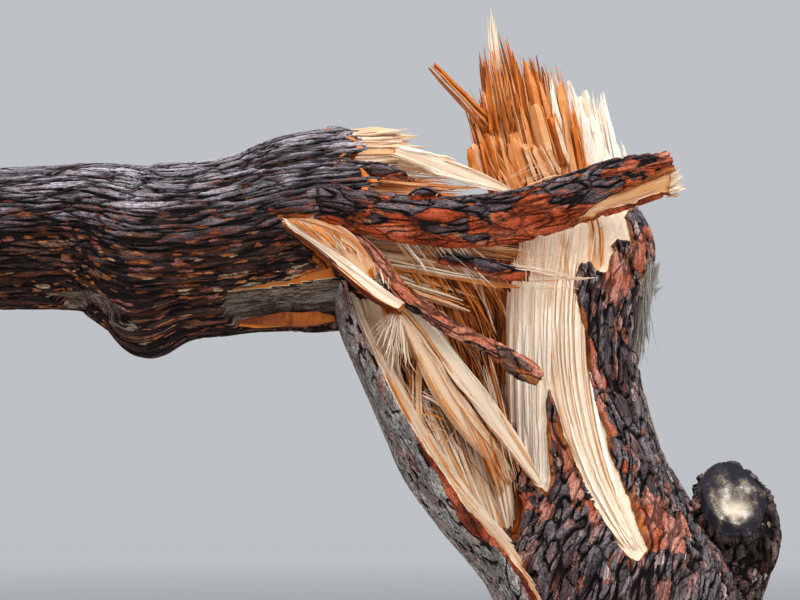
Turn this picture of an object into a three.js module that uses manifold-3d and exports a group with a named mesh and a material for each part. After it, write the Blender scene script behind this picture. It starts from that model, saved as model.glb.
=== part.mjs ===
// A dead tree that a storm has snapped about two metres up. The rooted trunk ends in a tall torn stem.
// The upper trunk lies almost level to the left, hinged on a strip of shell, its bare crown on the ground.
// Millimetres, +Z up, +X to the right, -Y to the front. The origin is the middle of the cut at the ground.
import * as THREE from 'three';
import { mergeVertices } from 'three/addons/utils/BufferGeometryUtils.js';
import Module from 'manifold-3d';

const wasm = await Module();
wasm.setup();

// Driving dimensions
const CLEARANCE = 0.4; // air between solids that touch on the real tree
const BOARD_TAPER = 0.7; // a torn board's width at its teeth, as a share of that at its root
const TOOTH_STEEPNESS = 8; // a tooth is moved this much along itself to clear its own side by one
const TRUNK_RADIUS = 265; // at its slimmest, between the root flare and the old fork
const FLARE_RADIUS = 1.5 * TRUNK_RADIUS; // at the ground
const FLARE_HEIGHT = 420;
const ROOT_LOBES = 5;
const LOBE_DEPTH = 0.16; // share of the radius that the root buttresses stand out
const SPLIT_HEIGHT = 1495; // where the shell parts from the trunk
const BOLE_HEIGHT = 2300; // of the fallen stem's axis
const BOLE_RADIUS = 230; // of the fallen stem near the break
const BOUGH_COUNT = 12;
const BOUGH_PLACES = [-2040, -4020]; // where the first and the last bough leave the fallen stem, along X
const BOUGH_TURN = THREE.MathUtils.degToRad(137.5); // from one bough to the next, round the stem
const BOUGH_REACHES = [980, 560]; // of the first and the last bough
const BOUGH_RADII = [78, 40]; // at their roots
const MASS_LENGTHS = [1380, 900]; // of the twig masses on the first and the last bough
const LEADER_LENGTH = 1250; // of the twig mass on the fallen stem's own tip
const MASS_REACH = 900; // how far a twig may end from the middle of its mass
const MASS_GAP = 40; // how much nearer a twig is to its own mass than to another
const TWIG_SIDES = 3;
const TWIG_SEGMENTS = [4, 2, 1]; // bends in a main stem, a side shoot and a fine shoot
const TWIG_SHOOTS = [8, 3]; // side shoots on a main stem, fine shoots on a side shoot
const TWIG_STRAY = 0.42; // how far a twig turns at each bend, as a share of its heading
const TWIG_TURN = 2.4; // radians round the stem from one shoot to the next
const TWIG_SPREAD = [0.75, 1.1]; // radians between a stem and its shoots
const TWIG_LENGTHS = [0.62, 0.28]; // of a shoot at its stem's foot and tip, as a share of the stem's
const THINNEST_TWIG = 2.4;
const TWIG_GROUND_CLEARANCE = 4;

// Colours
const BARK = { color: 0x3a2b2a, roughness: 0.95 };
const GREY_BARK = { color: 0x7d746c, roughness: 0.95 };
const SAPWOOD = { color: 0xe8c49a, roughness: 0.8 };
const HEARTWOOD = { color: 0xc8692c, roughness: 0.8 };
const SAWN_WOOD = { color: 0x55504a, roughness: 0.9 };
const RED_BARK = { color: 0x7a2f1a, roughness: 0.9 };

// A closed three.js geometry becomes a solid, once only its shared corners are left.
function toSolid(geometry) {
  geometry.deleteAttribute('normal');
  geometry.deleteAttribute('uv');
  const merged = mergeVertices(geometry);
  const mesh = new wasm.Mesh({
    numProp: 3,
    vertProperties: merged.attributes.position.array,
    triVerts: Uint32Array.from(merged.index.array),
  });
  return new wasm.Manifold(mesh);
}

function toGeometry(solid) {
  const { vertProperties, triVerts } = solid.getMesh();
  const geometry = new THREE.BufferGeometry();
  geometry.setAttribute('position', new THREE.BufferAttribute(vertProperties, 3));
  geometry.setIndex(new THREE.BufferAttribute(triVerts, 1));
  geometry.computeVertexNormals();
  return geometry;
}

const fuse = (solids) => solids.reduce((whole, solid) => whole.add(solid));

// Cutting can leave loose scraps: only the largest part of a piece is kept.
function largestPart(solid) {
  return solid.decompose().reduce((best, one) => (one.volume() > best.volume() ? one : best));
}

// The curve through a limb's stations, each [x, y, z, half height, half depth].
const curveThrough = (stations) =>
  new THREE.CatmullRomCurve3(stations.map(([x, y, z]) => new THREE.Vector3(x, y, z)), false, 'centripetal');

function between(stations, t, column) {
  const place = t * (stations.length - 1);
  const first = Math.min(Math.floor(place), stations.length - 2);
  const value = (station) => station[column] ?? station[3];
  return THREE.MathUtils.lerp(value(stations[first]), value(stations[first + 1]), place - first);
}

// A limb is a cylinder bent along its curve, or a cone where its tip is pointed.
// Its rings stand square to the curve, or stay level on the trunk.
function limb(stations, options = {}) {
  const { sides = 12, steps = 8, grow = 0, level, pointed, depthAxis = [0, 1, 0], swell } = options;
  const curve = curveThrough(stations);
  const geometry = new THREE.CylinderGeometry(pointed ? 0 : 1, 1, 1, sides, steps);
  const position = geometry.attributes.position;
  const reference = new THREE.Vector3(...depthAxis);
  for (let i = 0; i < position.count; i++) {
    const t = THREE.MathUtils.clamp(position.getY(i) + 0.5, 0, 1);
    const along = level ? new THREE.Vector3(0, 0, 1) : curve.getTangent(t);
    const across = new THREE.Vector3().crossVectors(along, reference).normalize();
    const depth = new THREE.Vector3().crossVectors(across, along);
    const angle = Math.atan2(position.getZ(i), position.getX(i));
    const centre = curve.getPoint(t);
    const stretch = swell ? swell(centre.z, angle) : 1;
    const endShift = t === 0 ? -grow : t === 1 ? grow : 0;
    const isRim = Math.hypot(position.getX(i), position.getZ(i)) > 0 ? 1 : 0;
    const point = centre
      .addScaledVector(across, isRim * Math.cos(angle) * (between(stations, t, 3) * stretch + grow))
      .addScaledVector(depth, isRim * Math.sin(angle) * (between(stations, t, 4) * stretch + grow))
      .addScaledVector(along, endShift);
    position.setXYZ(i, point.x, point.y, point.z);
  }
  return toSolid(geometry);
}

// A seeded series of numbers from 0 to 1.
function series(seed) {
  let state = (Math.abs(Math.round(seed)) % 2147483646) + 1;
  const next = () => {
    state = (state * 16807) % 2147483647;
    return state / 2147483647;
  };
  next();
  next();
  return next;
}

// A torn board: a square root end, straight sides that close in, and a tip of uneven teeth.
function board({ root, tip, width, thickness, face = [0, -1, 0], teeth = 3, bite = 0.35, seed }, grow = 0) {
  const draw = series(seed);
  const from = new THREE.Vector3(...root);
  const along = new THREE.Vector3(...tip).sub(from);
  const length = along.length();
  const half = width / 2;
  const shoulder = length * (1 - bite);
  const edge = BOARD_TAPER * half;
  const lift = TOOTH_STEEPNESS * grow;
  const outline = new THREE.Shape();
  outline.moveTo(-grow, -half - grow);
  for (let k = 0; k < teeth; k++) {
    const low = THREE.MathUtils.lerp(-edge, edge, k / teeth);
    const middle = THREE.MathUtils.lerp(-edge, edge, (k + 0.5) / teeth);
    const share = k === Math.floor(teeth / 2) ? 1 : 0.35 + 0.55 * draw();
    const reach = THREE.MathUtils.lerp(shoulder, length, share);
    const notch = shoulder - bite * length * 0.3 * draw();
    outline.lineTo(notch + lift, k === 0 ? low - grow : low);
    outline.lineTo(reach + lift, middle);
  }
  outline.lineTo(shoulder + lift, edge + grow);
  outline.lineTo(-grow, half + grow);
  const geometry = new THREE.ExtrudeGeometry(outline, { depth: thickness + 2 * grow, bevelEnabled: false });
  geometry.translate(0, 0, -thickness / 2 - grow);
  along.normalize();
  const normal = new THREE.Vector3(...face);
  normal.addScaledVector(along, -normal.dot(along)).normalize();
  const side = new THREE.Vector3().crossVectors(normal, along);
  geometry.applyMatrix4(new THREE.Matrix4().makeBasis(along, side, normal).setPosition(from));
  return toSolid(geometry);
}

const boards = (list) => (grow) => fuse(list.map((one, k) => board({ seed: 11 * (k + 1), ...one }, grow)));

// The rooted trunk, from the ground up through its old fork to the torn top of the stem that still stands.
// Its five buttress roots fade out above the ground.
const TRUNK_STATIONS = [
  [0, 0, 0, FLARE_RADIUS],
  [0, 0, 130, 1.2 * TRUNK_RADIUS],
  [0, 0, FLARE_HEIGHT, 1.04 * TRUNK_RADIUS],
  [-5, 0, 750, TRUNK_RADIUS],
  [-15, 0, 1050, 1.01 * TRUNK_RADIUS],
  [-45, 0, 1260, 1.06 * TRUNK_RADIUS],
  [-72, 0, 1400, 1.12 * TRUNK_RADIUS],
  [-98, 10, SPLIT_HEIGHT, 1.09 * TRUNK_RADIUS, 1.06 * TRUNK_RADIUS],
  [-100, 22, SPLIT_HEIGHT + 110, 0.97 * TRUNK_RADIUS, 0.92 * TRUNK_RADIUS],
  [-122, 36, SPLIT_HEIGHT + 250, 0.86 * TRUNK_RADIUS, 0.77 * TRUNK_RADIUS],
  [-148, 44, SPLIT_HEIGHT + 400, 0.78 * TRUNK_RADIUS, 0.66 * TRUNK_RADIUS],
  [-165, 45, SPLIT_HEIGHT + 560, 0.7 * TRUNK_RADIUS, 0.6 * TRUNK_RADIUS],
  [-145, 45, SPLIT_HEIGHT + 690, 0.73 * TRUNK_RADIUS, 0.55 * TRUNK_RADIUS],
  [-135, 45, SPLIT_HEIGHT + 800, 0.71 * TRUNK_RADIUS, 0.48 * TRUNK_RADIUS],
  [-155, 40, SPLIT_HEIGHT + 895, 0.62 * TRUNK_RADIUS, 0.38 * TRUNK_RADIUS],
  [-190, 35, SPLIT_HEIGHT + 995, 0.52 * TRUNK_RADIUS, 0.25 * TRUNK_RADIUS],
];

function rootSwell(z, angle) {
  const fade = Math.max(0, 1 - z / FLARE_HEIGHT) ** 2;
  return 1 + LOBE_DEPTH * fade * Math.cos(ROOT_LOBES * angle + 0.6);
}

const TRUNK_MESH = { sides: 30, steps: 24, level: true, swell: rootSwell };
const trunk = (grow = 0) => limb(TRUNK_STATIONS, { ...TRUNK_MESH, grow });

// The old pruned bough: a thick collar on the right that ends in a weathered saw cut
const STUB_STATIONS = [
  [60, 5, 1360, 190],
  [150, -5, 1475, 150],
  [203, -60, 1560, 112],
  [186, -165, 1648, 76],
];
const sawnStub = (grow = 0) => limb(STUB_STATIONS, { sides: 18, steps: 7, grow, depthAxis: [1, 0, 0] });

// The strip of shell that was bent outwards and still carries the fallen stem
const SHELL_STATIONS = [
  [-290, -30, SPLIT_HEIGHT - 190, 80, 190],
  [-362, -38, SPLIT_HEIGHT - 40, 62, 172],
  [-450, -50, 1615, 48, 150],
  [-520, -55, 1720, 46, 140],
  [-590, -60, 1835, 44, 130],
  [-645, -60, 1945, 42, 120],
  [-695, -60, 2055, 40, 110],
  [-735, -60, 2165, 36, 100],
];
const hingeShell = (grow = 0) => limb(SHELL_STATIONS, { sides: 14, steps: 9, grow });

// The fallen upper trunk, from the broken end on the right to its tip in the crown
const BOLE_STATIONS = [
  [-690, 0, BOLE_HEIGHT + 25, 1.1 * BOLE_RADIUS, 1.0 * BOLE_RADIUS],
  [-855, 0, BOLE_HEIGHT, 1.1 * BOLE_RADIUS, 1.04 * BOLE_RADIUS],
  [-985, 0, BOLE_HEIGHT - 30, BOLE_RADIUS, BOLE_RADIUS],
  [-1110, 0, BOLE_HEIGHT - 50, BOLE_RADIUS, 0.98 * BOLE_RADIUS],
  [-1240, 0, BOLE_HEIGHT - 55, 1.02 * BOLE_RADIUS, 0.95 * BOLE_RADIUS],
  [-1370, 0, BOLE_HEIGHT - 25, 0.89 * BOLE_RADIUS, 0.86 * BOLE_RADIUS],
  [-1495, 0, BOLE_HEIGHT - 10, 0.79 * BOLE_RADIUS],
  [-1900, 10, BOLE_HEIGHT - 25, 0.76 * BOLE_RADIUS],
  [-2350, 25, BOLE_HEIGHT - 70, 0.69 * BOLE_RADIUS],
  [-2850, -25, BOLE_HEIGHT - 130, 0.58 * BOLE_RADIUS],
  [-3400, 25, BOLE_HEIGHT - 250, 0.44 * BOLE_RADIUS],
  [-4150, -20, BOLE_HEIGHT - 460, 0.2 * BOLE_RADIUS],
];
// An old branch ring that bulges under the fallen stem
const WHORL_SWELLING = [
  [-1180, -20, BOLE_HEIGHT - 130, 60],
  [-1250, -30, BOLE_HEIGHT - 180, 115],
  [-1330, -30, BOLE_HEIGHT - 130, 50],
];

function fallenBole(grow = 0) {
  const stem = limb(BOLE_STATIONS, { sides: 24, steps: 20, grow });
  return stem.add(limb(WHORL_SWELLING, { sides: 12, steps: 4, grow }));
}

// The long strip of bark that crosses in front of the torn stem
const TONGUE_STATIONS = [
  [-860, -195, 2315, 62, 30],
  [-740, -222, 2295, 68, 36],
  [-600, -245, 2275, 60, 36],
  [-460, -256, 2270, 61, 36],
  [-320, -262, 2285, 61, 35],
  [-200, -262, 2320, 61, 34],
  [-80, -256, 2362, 62, 33],
  [45, -250, 2395, 50, 28],
];
const barkTongue = (grow = 0) => limb(TONGUE_STATIONS, { sides: 12, steps: 12, grow });

// The narrow red strip of bark that hangs across the gap
const STRIP_STATIONS = [
  [-770, -185, 2275, 24, 16],
  [-690, -215, 2225, 20, 14],
  [-600, -228, 2115, 20, 14],
  [-485, -228, 2030, 20, 14],
  [-365, -225, 1970, 20, 14],
  [-275, -225, 1905, 22, 15],
];
const barkStrip = (grow = 0) => limb(STRIP_STATIONS, { sides: 8, steps: 10, grow });

// The pale blade that split from the fallen stem's front
const tornBlade = boards([
  { root: [-900, -200, 2290], tip: [-606, -238, 2055], width: 74, thickness: 26, teeth: 2, bite: 0.2 },
]);

// Two long planks that slant from the blade's end down to the trunk
const PLANK_TOPS = [[-612, -236, 2078], [-632, -205, 2030]];
const PLANK_FEET = [[-225, -120, 1625], [-285, -90, 1630]];
const PLANK_SHAPE = { width: 50, thickness: 22, teeth: 2, bite: 0.12 };
const longPlank = (k) => boards([{ root: PLANK_FEET[k], tip: PLANK_TOPS[k], ...PLANK_SHAPE }]);

// Spikes of torn wood on top of the stem: each board rises from its root to the tip that it had when it tore
const HEARTWOOD_LEFT = boards([
  { root: [-290, 20, 2330], tip: [-412, -10, 2700], width: 100, thickness: 36, teeth: 4, bite: 0.3 },
  { root: [-280, 0, 2360], tip: [-360, -10, 2850], width: 120, thickness: 40, teeth: 4, bite: 0.3 },
  { root: [-300, -20, 2420], tip: [-528, -62, 2738], width: 34, thickness: 18, teeth: 1, bite: 0.15 },
  { root: [-270, -55, 2300], tip: [-425, -75, 2600], width: 44, thickness: 16, teeth: 2 },
]);
const HEARTWOOD_MIDDLE = boards([
  { root: [-225, 25, 2360], tip: [-300, 15, 2810], width: 130, thickness: 44, teeth: 5, bite: 0.28 },
  { root: [-250, 50, 2380], tip: [-358, 20, 2940], width: 46, thickness: 16, teeth: 1, bite: 0.5 },
  { root: [-230, -40, 2330], tip: [-300, -35, 2680], width: 90, thickness: 26, teeth: 3 },
]);
const HEARTWOOD_RIGHT = boards([
  { root: [-160, 30, 2370], tip: [-232, 25, 2800], width: 110, thickness: 42, teeth: 4, bite: 0.3 },
  { root: [-150, -30, 2330], tip: [-195, -30, 2660], width: 90, thickness: 26, teeth: 3 },
]);
const SAPWOOD_FAN = boards([
  { root: [-100, 40, 2340], tip: [-187, 30, 2765], width: 90, thickness: 36, teeth: 3, bite: 0.3 },
  { root: [-60, 40, 2330], tip: [-112, 35, 2720], width: 110, thickness: 36, teeth: 4, bite: 0.28 },
  { root: [-20, 30, 2290], tip: [-50, 30, 2580], width: 84, thickness: 30, teeth: 3, bite: 0.25 },
]);

// Torn fibres at the fallen stem's broken end
const BOLE_END_UPPER = boards([
  { root: [-780, -20, 2510], tip: [-535, -30, 2520], width: 90, thickness: 60, teeth: 4 },
  { root: [-780, -80, 2470], tip: [-415, -80, 2462], width: 90, thickness: 50, teeth: 4, bite: 0.5 },
  { root: [-780, -130, 2415], tip: [-345, -150, 2385], width: 80, thickness: 36, teeth: 2, bite: 0.2 },
]);
const BOLE_END_LOWER = boards([
  { root: [-780, -150, 2370], tip: [-390, -165, 2345], width: 80, thickness: 34, teeth: 4, bite: 0.5 },
  { root: [-780, 60, 2330], tip: [-480, 50, 2300], width: 160, thickness: 50, teeth: 5 },
  { root: [-780, 0, 2230], tip: [-470, -10, 2180], width: 130, thickness: 50, teeth: 5 },
]);
// Boards that cross the gap from the broken end towards the torn stem
const CROSS_UPPER = boards([
  { root: [-740, -165, 2235], tip: [-275, -158, 2150], width: 60, thickness: 24, teeth: 3, bite: 0.3 },
  { root: [-740, -140, 2200], tip: [-400, -150, 2085], width: 60, thickness: 24, teeth: 3, bite: 0.4 },
  { root: [-740, -180, 2265], tip: [-215, -178, 2205], width: 44, thickness: 18, teeth: 2, bite: 0.4 },
]);
const CROSS_LOWER = boards([
  { root: [-725, -90, 2160], tip: [-450, -60, 1830], width: 90, thickness: 30, teeth: 4, bite: 0.4 },
  { root: [-720, -30, 2150], tip: [-520, -20, 1800], width: 80, thickness: 26, teeth: 3, bite: 0.4 },
]);
// Splinters that stand up from the foot of the gap, inside the shell
const GAP_SPLINTERS = boards([
  { root: [-330, -60, 1500], tip: [-560, -60, 1990], width: 60, thickness: 24, teeth: 2, bite: 0.3 },
  { root: [-300, -20, 1520], tip: [-470, 0, 1960], width: 90, thickness: 30, teeth: 3, bite: 0.4 },
  { root: [-320, 40, 1500], tip: [-420, 50, 1900], width: 110, thickness: 30, teeth: 4, bite: 0.4 },
]);
// A slab of orange wood that peels off under the fallen stem
const SLAB_SHAPE = { width: 150, thickness: 26, face: [0, 0, -1], teeth: 2, bite: 0.4 };
const UNDERSIDE_SLAB = boards([{ root: [-760, -80, 2078], tip: [-1030, -70, 2032], ...SLAB_SHAPE }]);

const boleCurve = curveThrough(BOLE_STATIONS);

function boleAxisAt(x) {
  let low = 0;
  let high = 1;
  for (let turn = 0; turn < 30; turn++) {
    const middle = (low + high) / 2;
    if (boleCurve.getPoint(middle).x > x) low = middle;
    else high = middle;
  }
  return boleCurve.getPoint(low);
}

// The crown: boughs leave the fallen stem in a spiral, first outwards and then more towards its tip.
// Each is given by its stations, and by the heading and length of the mass of bare twigs on its tip.
function boughSpec(k) {
  const along = k / (BOUGH_COUNT - 1);
  const sized = ([first, last]) => THREE.MathUtils.lerp(first, last, along);
  const draw = series(31 * (k + 1));
  const turn = k * BOUGH_TURN + 0.5 + 0.3 * draw();
  const outwards = new THREE.Vector3(0, Math.cos(turn), Math.sin(turn));
  const leaning = (share) => outwards.clone().addScaledVector(new THREE.Vector3(-1, 0, 0), share).normalize();
  const root = boleAxisAt(sized(BOUGH_PLACES));
  const reach = sized(BOUGH_REACHES) * (0.9 + 0.2 * draw() + 0.8 * Math.max(0, -outwards.z));
  const middle = root.clone().addScaledVector(leaning(0.25), 0.55 * reach);
  const tip = middle.clone().addScaledVector(leaning(0.75 + 0.3 * draw()), 0.5 * reach);
  const thick = sized(BOUGH_RADII);
  const stations = [[...root, 1.15 * thick], [...middle, 0.78 * thick], [...tip, 0.55 * thick]];
  return { stations, heading: leaning(0.8), length: sized(MASS_LENGTHS) };
}

const BOUGHS = Array.from({ length: BOUGH_COUNT }, (_, k) => boughSpec(k));
const LEADER = { stations: BOLE_STATIONS, heading: new THREE.Vector3(-0.98, -0.06, 0.05), length: LEADER_LENGTH };

const BOUGH_MESH = { sides: 8, steps: 5, depthAxis: [0.9, 0.3, 0.3] };
const bough = ({ stations }) => (grow = 0) => limb(stations, { ...BOUGH_MESH, grow });

// One twig of a mass: a crooked path, its radius, and the shorter shoots that leave it in a spiral.
// A path that meets the ground lies along it. Every shoot draws from a series of its own, so a finer
// order never changes a coarser one.
const SPIRAL_START = new THREE.Vector3(0.3, 0.2, 0.93);

function shoots(start, heading, length, radius, order, seed, allowed) {
  const draw = series(seed);
  const segments = TWIG_SEGMENTS[Math.min(order, TWIG_SEGMENTS.length - 1)];
  const points = [start.clone()];
  const way = heading.clone().normalize();
  for (let k = 0; k < segments; k++) {
    const stray = new THREE.Vector3(draw() - 0.5, draw() - 0.5, draw() - 0.5).multiplyScalar(TWIG_STRAY);
    way.add(stray).normalize();
    const next = points[k].clone().addScaledVector(way, length / segments);
    next.z = Math.max(next.z, radius + TWIG_GROUND_CLEARANCE);
    points.push(next);
  }
  if (order > 0 && !allowed(points, radius)) return [];
  const found = [{ points, radius }];
  const count = TWIG_SHOOTS[order] ?? 0;
  for (let k = 0; k < count; k++) {
    const t = 0.16 + (0.8 * (k + draw() * 0.5)) / count;
    const place = t * segments;
    const first = Math.min(Math.floor(place), segments - 1);
    const from = points[first].clone().lerp(points[first + 1], place - first);
    const direction = points[first + 1].clone().sub(points[first]).normalize();
    const spin = k * TWIG_TURN + draw();
    const spread = THREE.MathUtils.lerp(...TWIG_SPREAD, draw());
    const outwards = new THREE.Vector3().crossVectors(direction, SPIRAL_START).normalize();
    outwards.applyAxisAngle(direction, spin);
    const sideways = direction.multiplyScalar(Math.cos(spread)).addScaledVector(outwards, Math.sin(spread));
    const sideLength = length * THREE.MathUtils.lerp(...TWIG_LENGTHS, t) * (0.8 + 0.4 * draw());
    const sideRadius = Math.max(THINNEST_TWIG, radius * (1 - 0.75 * t) * 0.62);
    const sideSeed = seed * 13 + k * 7 + 5;
    found.push(...shoots(from, sideways, sideLength, sideRadius, order + 1, sideSeed, allowed));
  }
  return found;
}

// Balls along a limb that a twig keeps out of
function ballsAlong({ stations }) {
  const curve = curveThrough(stations);
  const shares = Array.from({ length: LIMB_BALLS + 1 }, (_, k) => k / LIMB_BALLS);
  return shares.map((t) => ({ centre: curve.getPoint(t), radius: LIMB_MARGIN * between(stations, t, 3) }));
}

function massCentre({ stations, heading, length }) {
  return new THREE.Vector3(...stations.at(-1).slice(0, 3)).addScaledVector(heading, 0.5 * length);
}

const LIMB_BALLS = 24;
const LIMB_MARGIN = 1.4;
const MASSES = [...BOUGHS, LEADER];
const CENTRES = MASSES.map(massCentre);
const LIMBS = MASSES.map(ballsAlong);

// A side twig keeps to the space that is nearer to the middle of its own mass than to any other's,
// and it touches no limb.
function twigRule(own) {
  const centre = CENTRES[own];
  const others = CENTRES.filter((_, k) => k !== own);
  const balls = LIMBS.filter((_, k) => k !== own).flat();
  const isFree = (point, radius) => {
    const distance = point.distanceTo(centre);
    return distance < MASS_REACH
      && others.every((other) => point.distanceTo(other) > distance + MASS_GAP)
      && balls.every((ball) => point.distanceTo(ball.centre) > ball.radius + radius);
  };
  return (points, radius) => points.slice(1).every((point, k) =>
    [0.5, 1].every((share) => isFree(points[k].clone().lerp(point, share), radius)));
}

// The stem of a mass starts inside its limb's tip, and is then cut clear of it.
const TWIG_MESH = { sides: TWIG_SIDES, pointed: true, depthAxis: [0.31, 0.29, 0.9] };

function twigMass(own, seed, host) {
  const { stations, heading, length } = MASSES[own];
  const last = stations.at(-1);
  const before = curveThrough(stations).getPoint(0.97);
  const tip = new THREE.Vector3(...last.slice(0, 3));
  const outwards = tip.clone().sub(before).normalize();
  const start = tip.clone().addScaledVector(outwards, -0.6 * last[3]);
  const way = outwards.clone().add(heading);
  const twigs = shoots(start, way, length, 0.85 * last[3], 0, seed, twigRule(own));
  const solids = twigs.map(({ points, radius }) => {
    const thin = (k) => radius * (1 - 0.8 * (k / (points.length - 1)));
    const path = points.map((point, k) => [...point, thin(k)]);
    return limb(path, { ...TWIG_MESH, steps: points.length - 1 });
  });
  return largestPart(fuse(solids).subtract(host(CLEARANCE)));
}

// Each solid is cut clear of the neighbours that are named after it.
const PIECES = [
  ['trunk', BARK, trunk],
  ['fallen_bole', BARK, fallenBole],
  ['sawn_stub', SAWN_WOOD, sawnStub, 'trunk'],
  ['hinge_shell', GREY_BARK, hingeShell, 'trunk', 'fallen_bole'],
  ['bark_tongue', RED_BARK, barkTongue, 'fallen_bole'],
  ['torn_blade', SAPWOOD, tornBlade, 'fallen_bole', 'bark_tongue'],
  ['bark_strip', RED_BARK, barkStrip, 'fallen_bole', 'bark_tongue', 'torn_blade'],
  ['long_plank_1', SAPWOOD, longPlank(0), 'trunk', 'torn_blade', 'bark_strip'],
  ['long_plank_2', HEARTWOOD, longPlank(1), 'trunk', 'hinge_shell', 'torn_blade', 'bark_strip', 'long_plank_1'],
  ['heartwood_fan_left', HEARTWOOD, HEARTWOOD_LEFT, 'trunk'],
  ['heartwood_fan_middle', HEARTWOOD, HEARTWOOD_MIDDLE, 'trunk', 'heartwood_fan_left'],
  ['heartwood_fan_right', HEARTWOOD, HEARTWOOD_RIGHT, 'trunk', 'heartwood_fan_middle'],
  ['sapwood_fan', SAPWOOD, SAPWOOD_FAN, 'trunk', 'heartwood_fan_right'],
  ['bole_end_upper', SAPWOOD, BOLE_END_UPPER, 'fallen_bole', 'bark_tongue'],
  ['bole_end_lower', HEARTWOOD, BOLE_END_LOWER, 'fallen_bole', 'bark_tongue', 'bole_end_upper'],
  ['cross_boards_upper', SAPWOOD, CROSS_UPPER,
    'trunk', 'fallen_bole', 'bark_tongue', 'bark_strip', 'bole_end_lower'],
  ['cross_boards_lower', HEARTWOOD, CROSS_LOWER,
    'trunk', 'fallen_bole', 'hinge_shell', 'bole_end_lower', 'cross_boards_upper', 'long_plank_2', 'long_plank_1'],
  ['gap_splinters', SAPWOOD, GAP_SPLINTERS,
    'trunk', 'hinge_shell', 'long_plank_1', 'long_plank_2', 'cross_boards_lower', 'bark_strip'],
  ['underside_slab', HEARTWOOD, UNDERSIDE_SLAB, 'fallen_bole', 'hinge_shell'],
  ...BOUGHS.map((spec, k) => [`bough_${k + 1}`, BARK, bough(spec), 'fallen_bole']),
];

const makers = Object.fromEntries(PIECES.map(([name, , make]) => [name, make]));
const tree = new THREE.Group();

function addPiece(name, solid, finish) {
  const mesh = new THREE.Mesh(toGeometry(solid), new THREE.MeshStandardMaterial({ metalness: 0, ...finish }));
  mesh.name = name;
  tree.add(mesh);
}

for (const [name, finish, make, ...neighbours] of PIECES) {
  const cut = neighbours.reduce((solid, other) => solid.subtract(makers[other](CLEARANCE)), make(0));
  addPiece(name, largestPart(cut), finish);
}

for (let k = 0; k < BOUGH_COUNT; k++) {
  addPiece(`twigs_${k + 1}`, twigMass(k, 101 + 17 * k, makers[`bough_${k + 1}`]), BARK);
}
addPiece('twigs_leader', twigMass(BOUGH_COUNT, 977, fallenBole), BARK);

export default tree;
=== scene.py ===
# %% [markdown]
# # A storm-broken dead tree
# A storm has snapped this tree about two metres up. The rooted trunk ends in a tall torn stem, and the upper
# trunk lies almost level to the left, with a bare crown on the ground. The solids of the frame are plain
# limbs and boards. This lesson gives them bark, torn wood and fine twigs, in the same places.

# %% Load the frame
import math

import bmesh
import bpy
import mathutils.kdtree
import numpy as np
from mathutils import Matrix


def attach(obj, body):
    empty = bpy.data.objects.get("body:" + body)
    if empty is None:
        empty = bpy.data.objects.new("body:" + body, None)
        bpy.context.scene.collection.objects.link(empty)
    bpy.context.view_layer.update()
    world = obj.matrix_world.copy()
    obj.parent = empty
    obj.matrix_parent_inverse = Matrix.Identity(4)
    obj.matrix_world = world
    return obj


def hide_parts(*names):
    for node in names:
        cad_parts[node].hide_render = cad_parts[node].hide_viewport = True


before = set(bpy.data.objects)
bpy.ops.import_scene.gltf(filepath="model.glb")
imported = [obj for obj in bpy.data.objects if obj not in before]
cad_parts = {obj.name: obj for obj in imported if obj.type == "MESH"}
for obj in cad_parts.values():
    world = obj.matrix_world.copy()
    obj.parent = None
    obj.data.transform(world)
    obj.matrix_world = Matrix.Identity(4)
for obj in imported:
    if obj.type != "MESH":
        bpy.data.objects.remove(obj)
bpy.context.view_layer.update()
MM = 0.001
print("nodes in the frame:", len(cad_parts))

# %% [markdown]
# ## Camera and light
# The picture was taken from eye level, about three metres away, and looks up by ten degrees. A wide pale
# floor, a pale sky and large soft lamps give even daylight. The lamps stand round the tree, so that no side
# of it is black.

# %% Camera
PHOTO_WIDTH = 800
PHOTO_HEIGHT = 600
FOCAL_PIXELS = 1200
CAMERA_PLACE = np.array((-0.60, -3.0, 1.6))
CAMERA_PITCH = math.radians(10)
PITCH_COSINE = math.cos(CAMERA_PITCH)
PITCH_SINE = math.sin(CAMERA_PITCH)
SENSOR_WIDTH = 36
SIGHT = 200


def link(name, data):
    """A new object in the scene, made of this camera, lamp or mesh."""
    thing = bpy.data.objects.new(name, data)
    bpy.context.scene.collection.objects.link(thing)
    return thing


camera_data = bpy.data.cameras.new("camera")
camera_data.sensor_width = SENSOR_WIDTH
camera_data.lens = SENSOR_WIDTH * FOCAL_PIXELS / PHOTO_WIDTH
camera_data.clip_end = SIGHT
camera = link("camera", camera_data)
camera.location = CAMERA_PLACE
camera.rotation_euler = (math.pi / 2 + CAMERA_PITCH, 0, 0)
bpy.context.scene.camera = camera


def seen(px, py, depth):
    """The place in metres that shows at a pixel of the picture, with its Y given in millimetres."""
    across = (px - PHOTO_WIDTH / 2) / FOCAL_PIXELS
    up = (PHOTO_HEIGHT / 2 - py) / FOCAL_PIXELS
    forward = depth * MM - CAMERA_PLACE[1]
    reach = forward / (PITCH_COSINE - up * PITCH_SINE)
    return CAMERA_PLACE + np.array((across * reach, forward, reach * (PITCH_SINE + up * PITCH_COSINE)))


def picture_of(points):
    """The pixels at which these places show, as two columns."""
    offset = points - CAMERA_PLACE
    forward = offset[:, 1] * PITCH_COSINE + offset[:, 2] * PITCH_SINE
    upward = offset[:, 2] * PITCH_COSINE - offset[:, 1] * PITCH_SINE
    px = PHOTO_WIDTH / 2 + FOCAL_PIXELS * offset[:, 0] / forward
    py = PHOTO_HEIGHT / 2 - FOCAL_PIXELS * upward / forward
    return np.column_stack((px, py))


print("lens:", round(camera_data.lens, 1), "mm")

# %% Floor, sky and lamps
FLOOR_REACH = 60
SKY_COLOUR = (0.83, 0.86, 0.90, 1)
SKY_STRENGTH = 0.62
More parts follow.
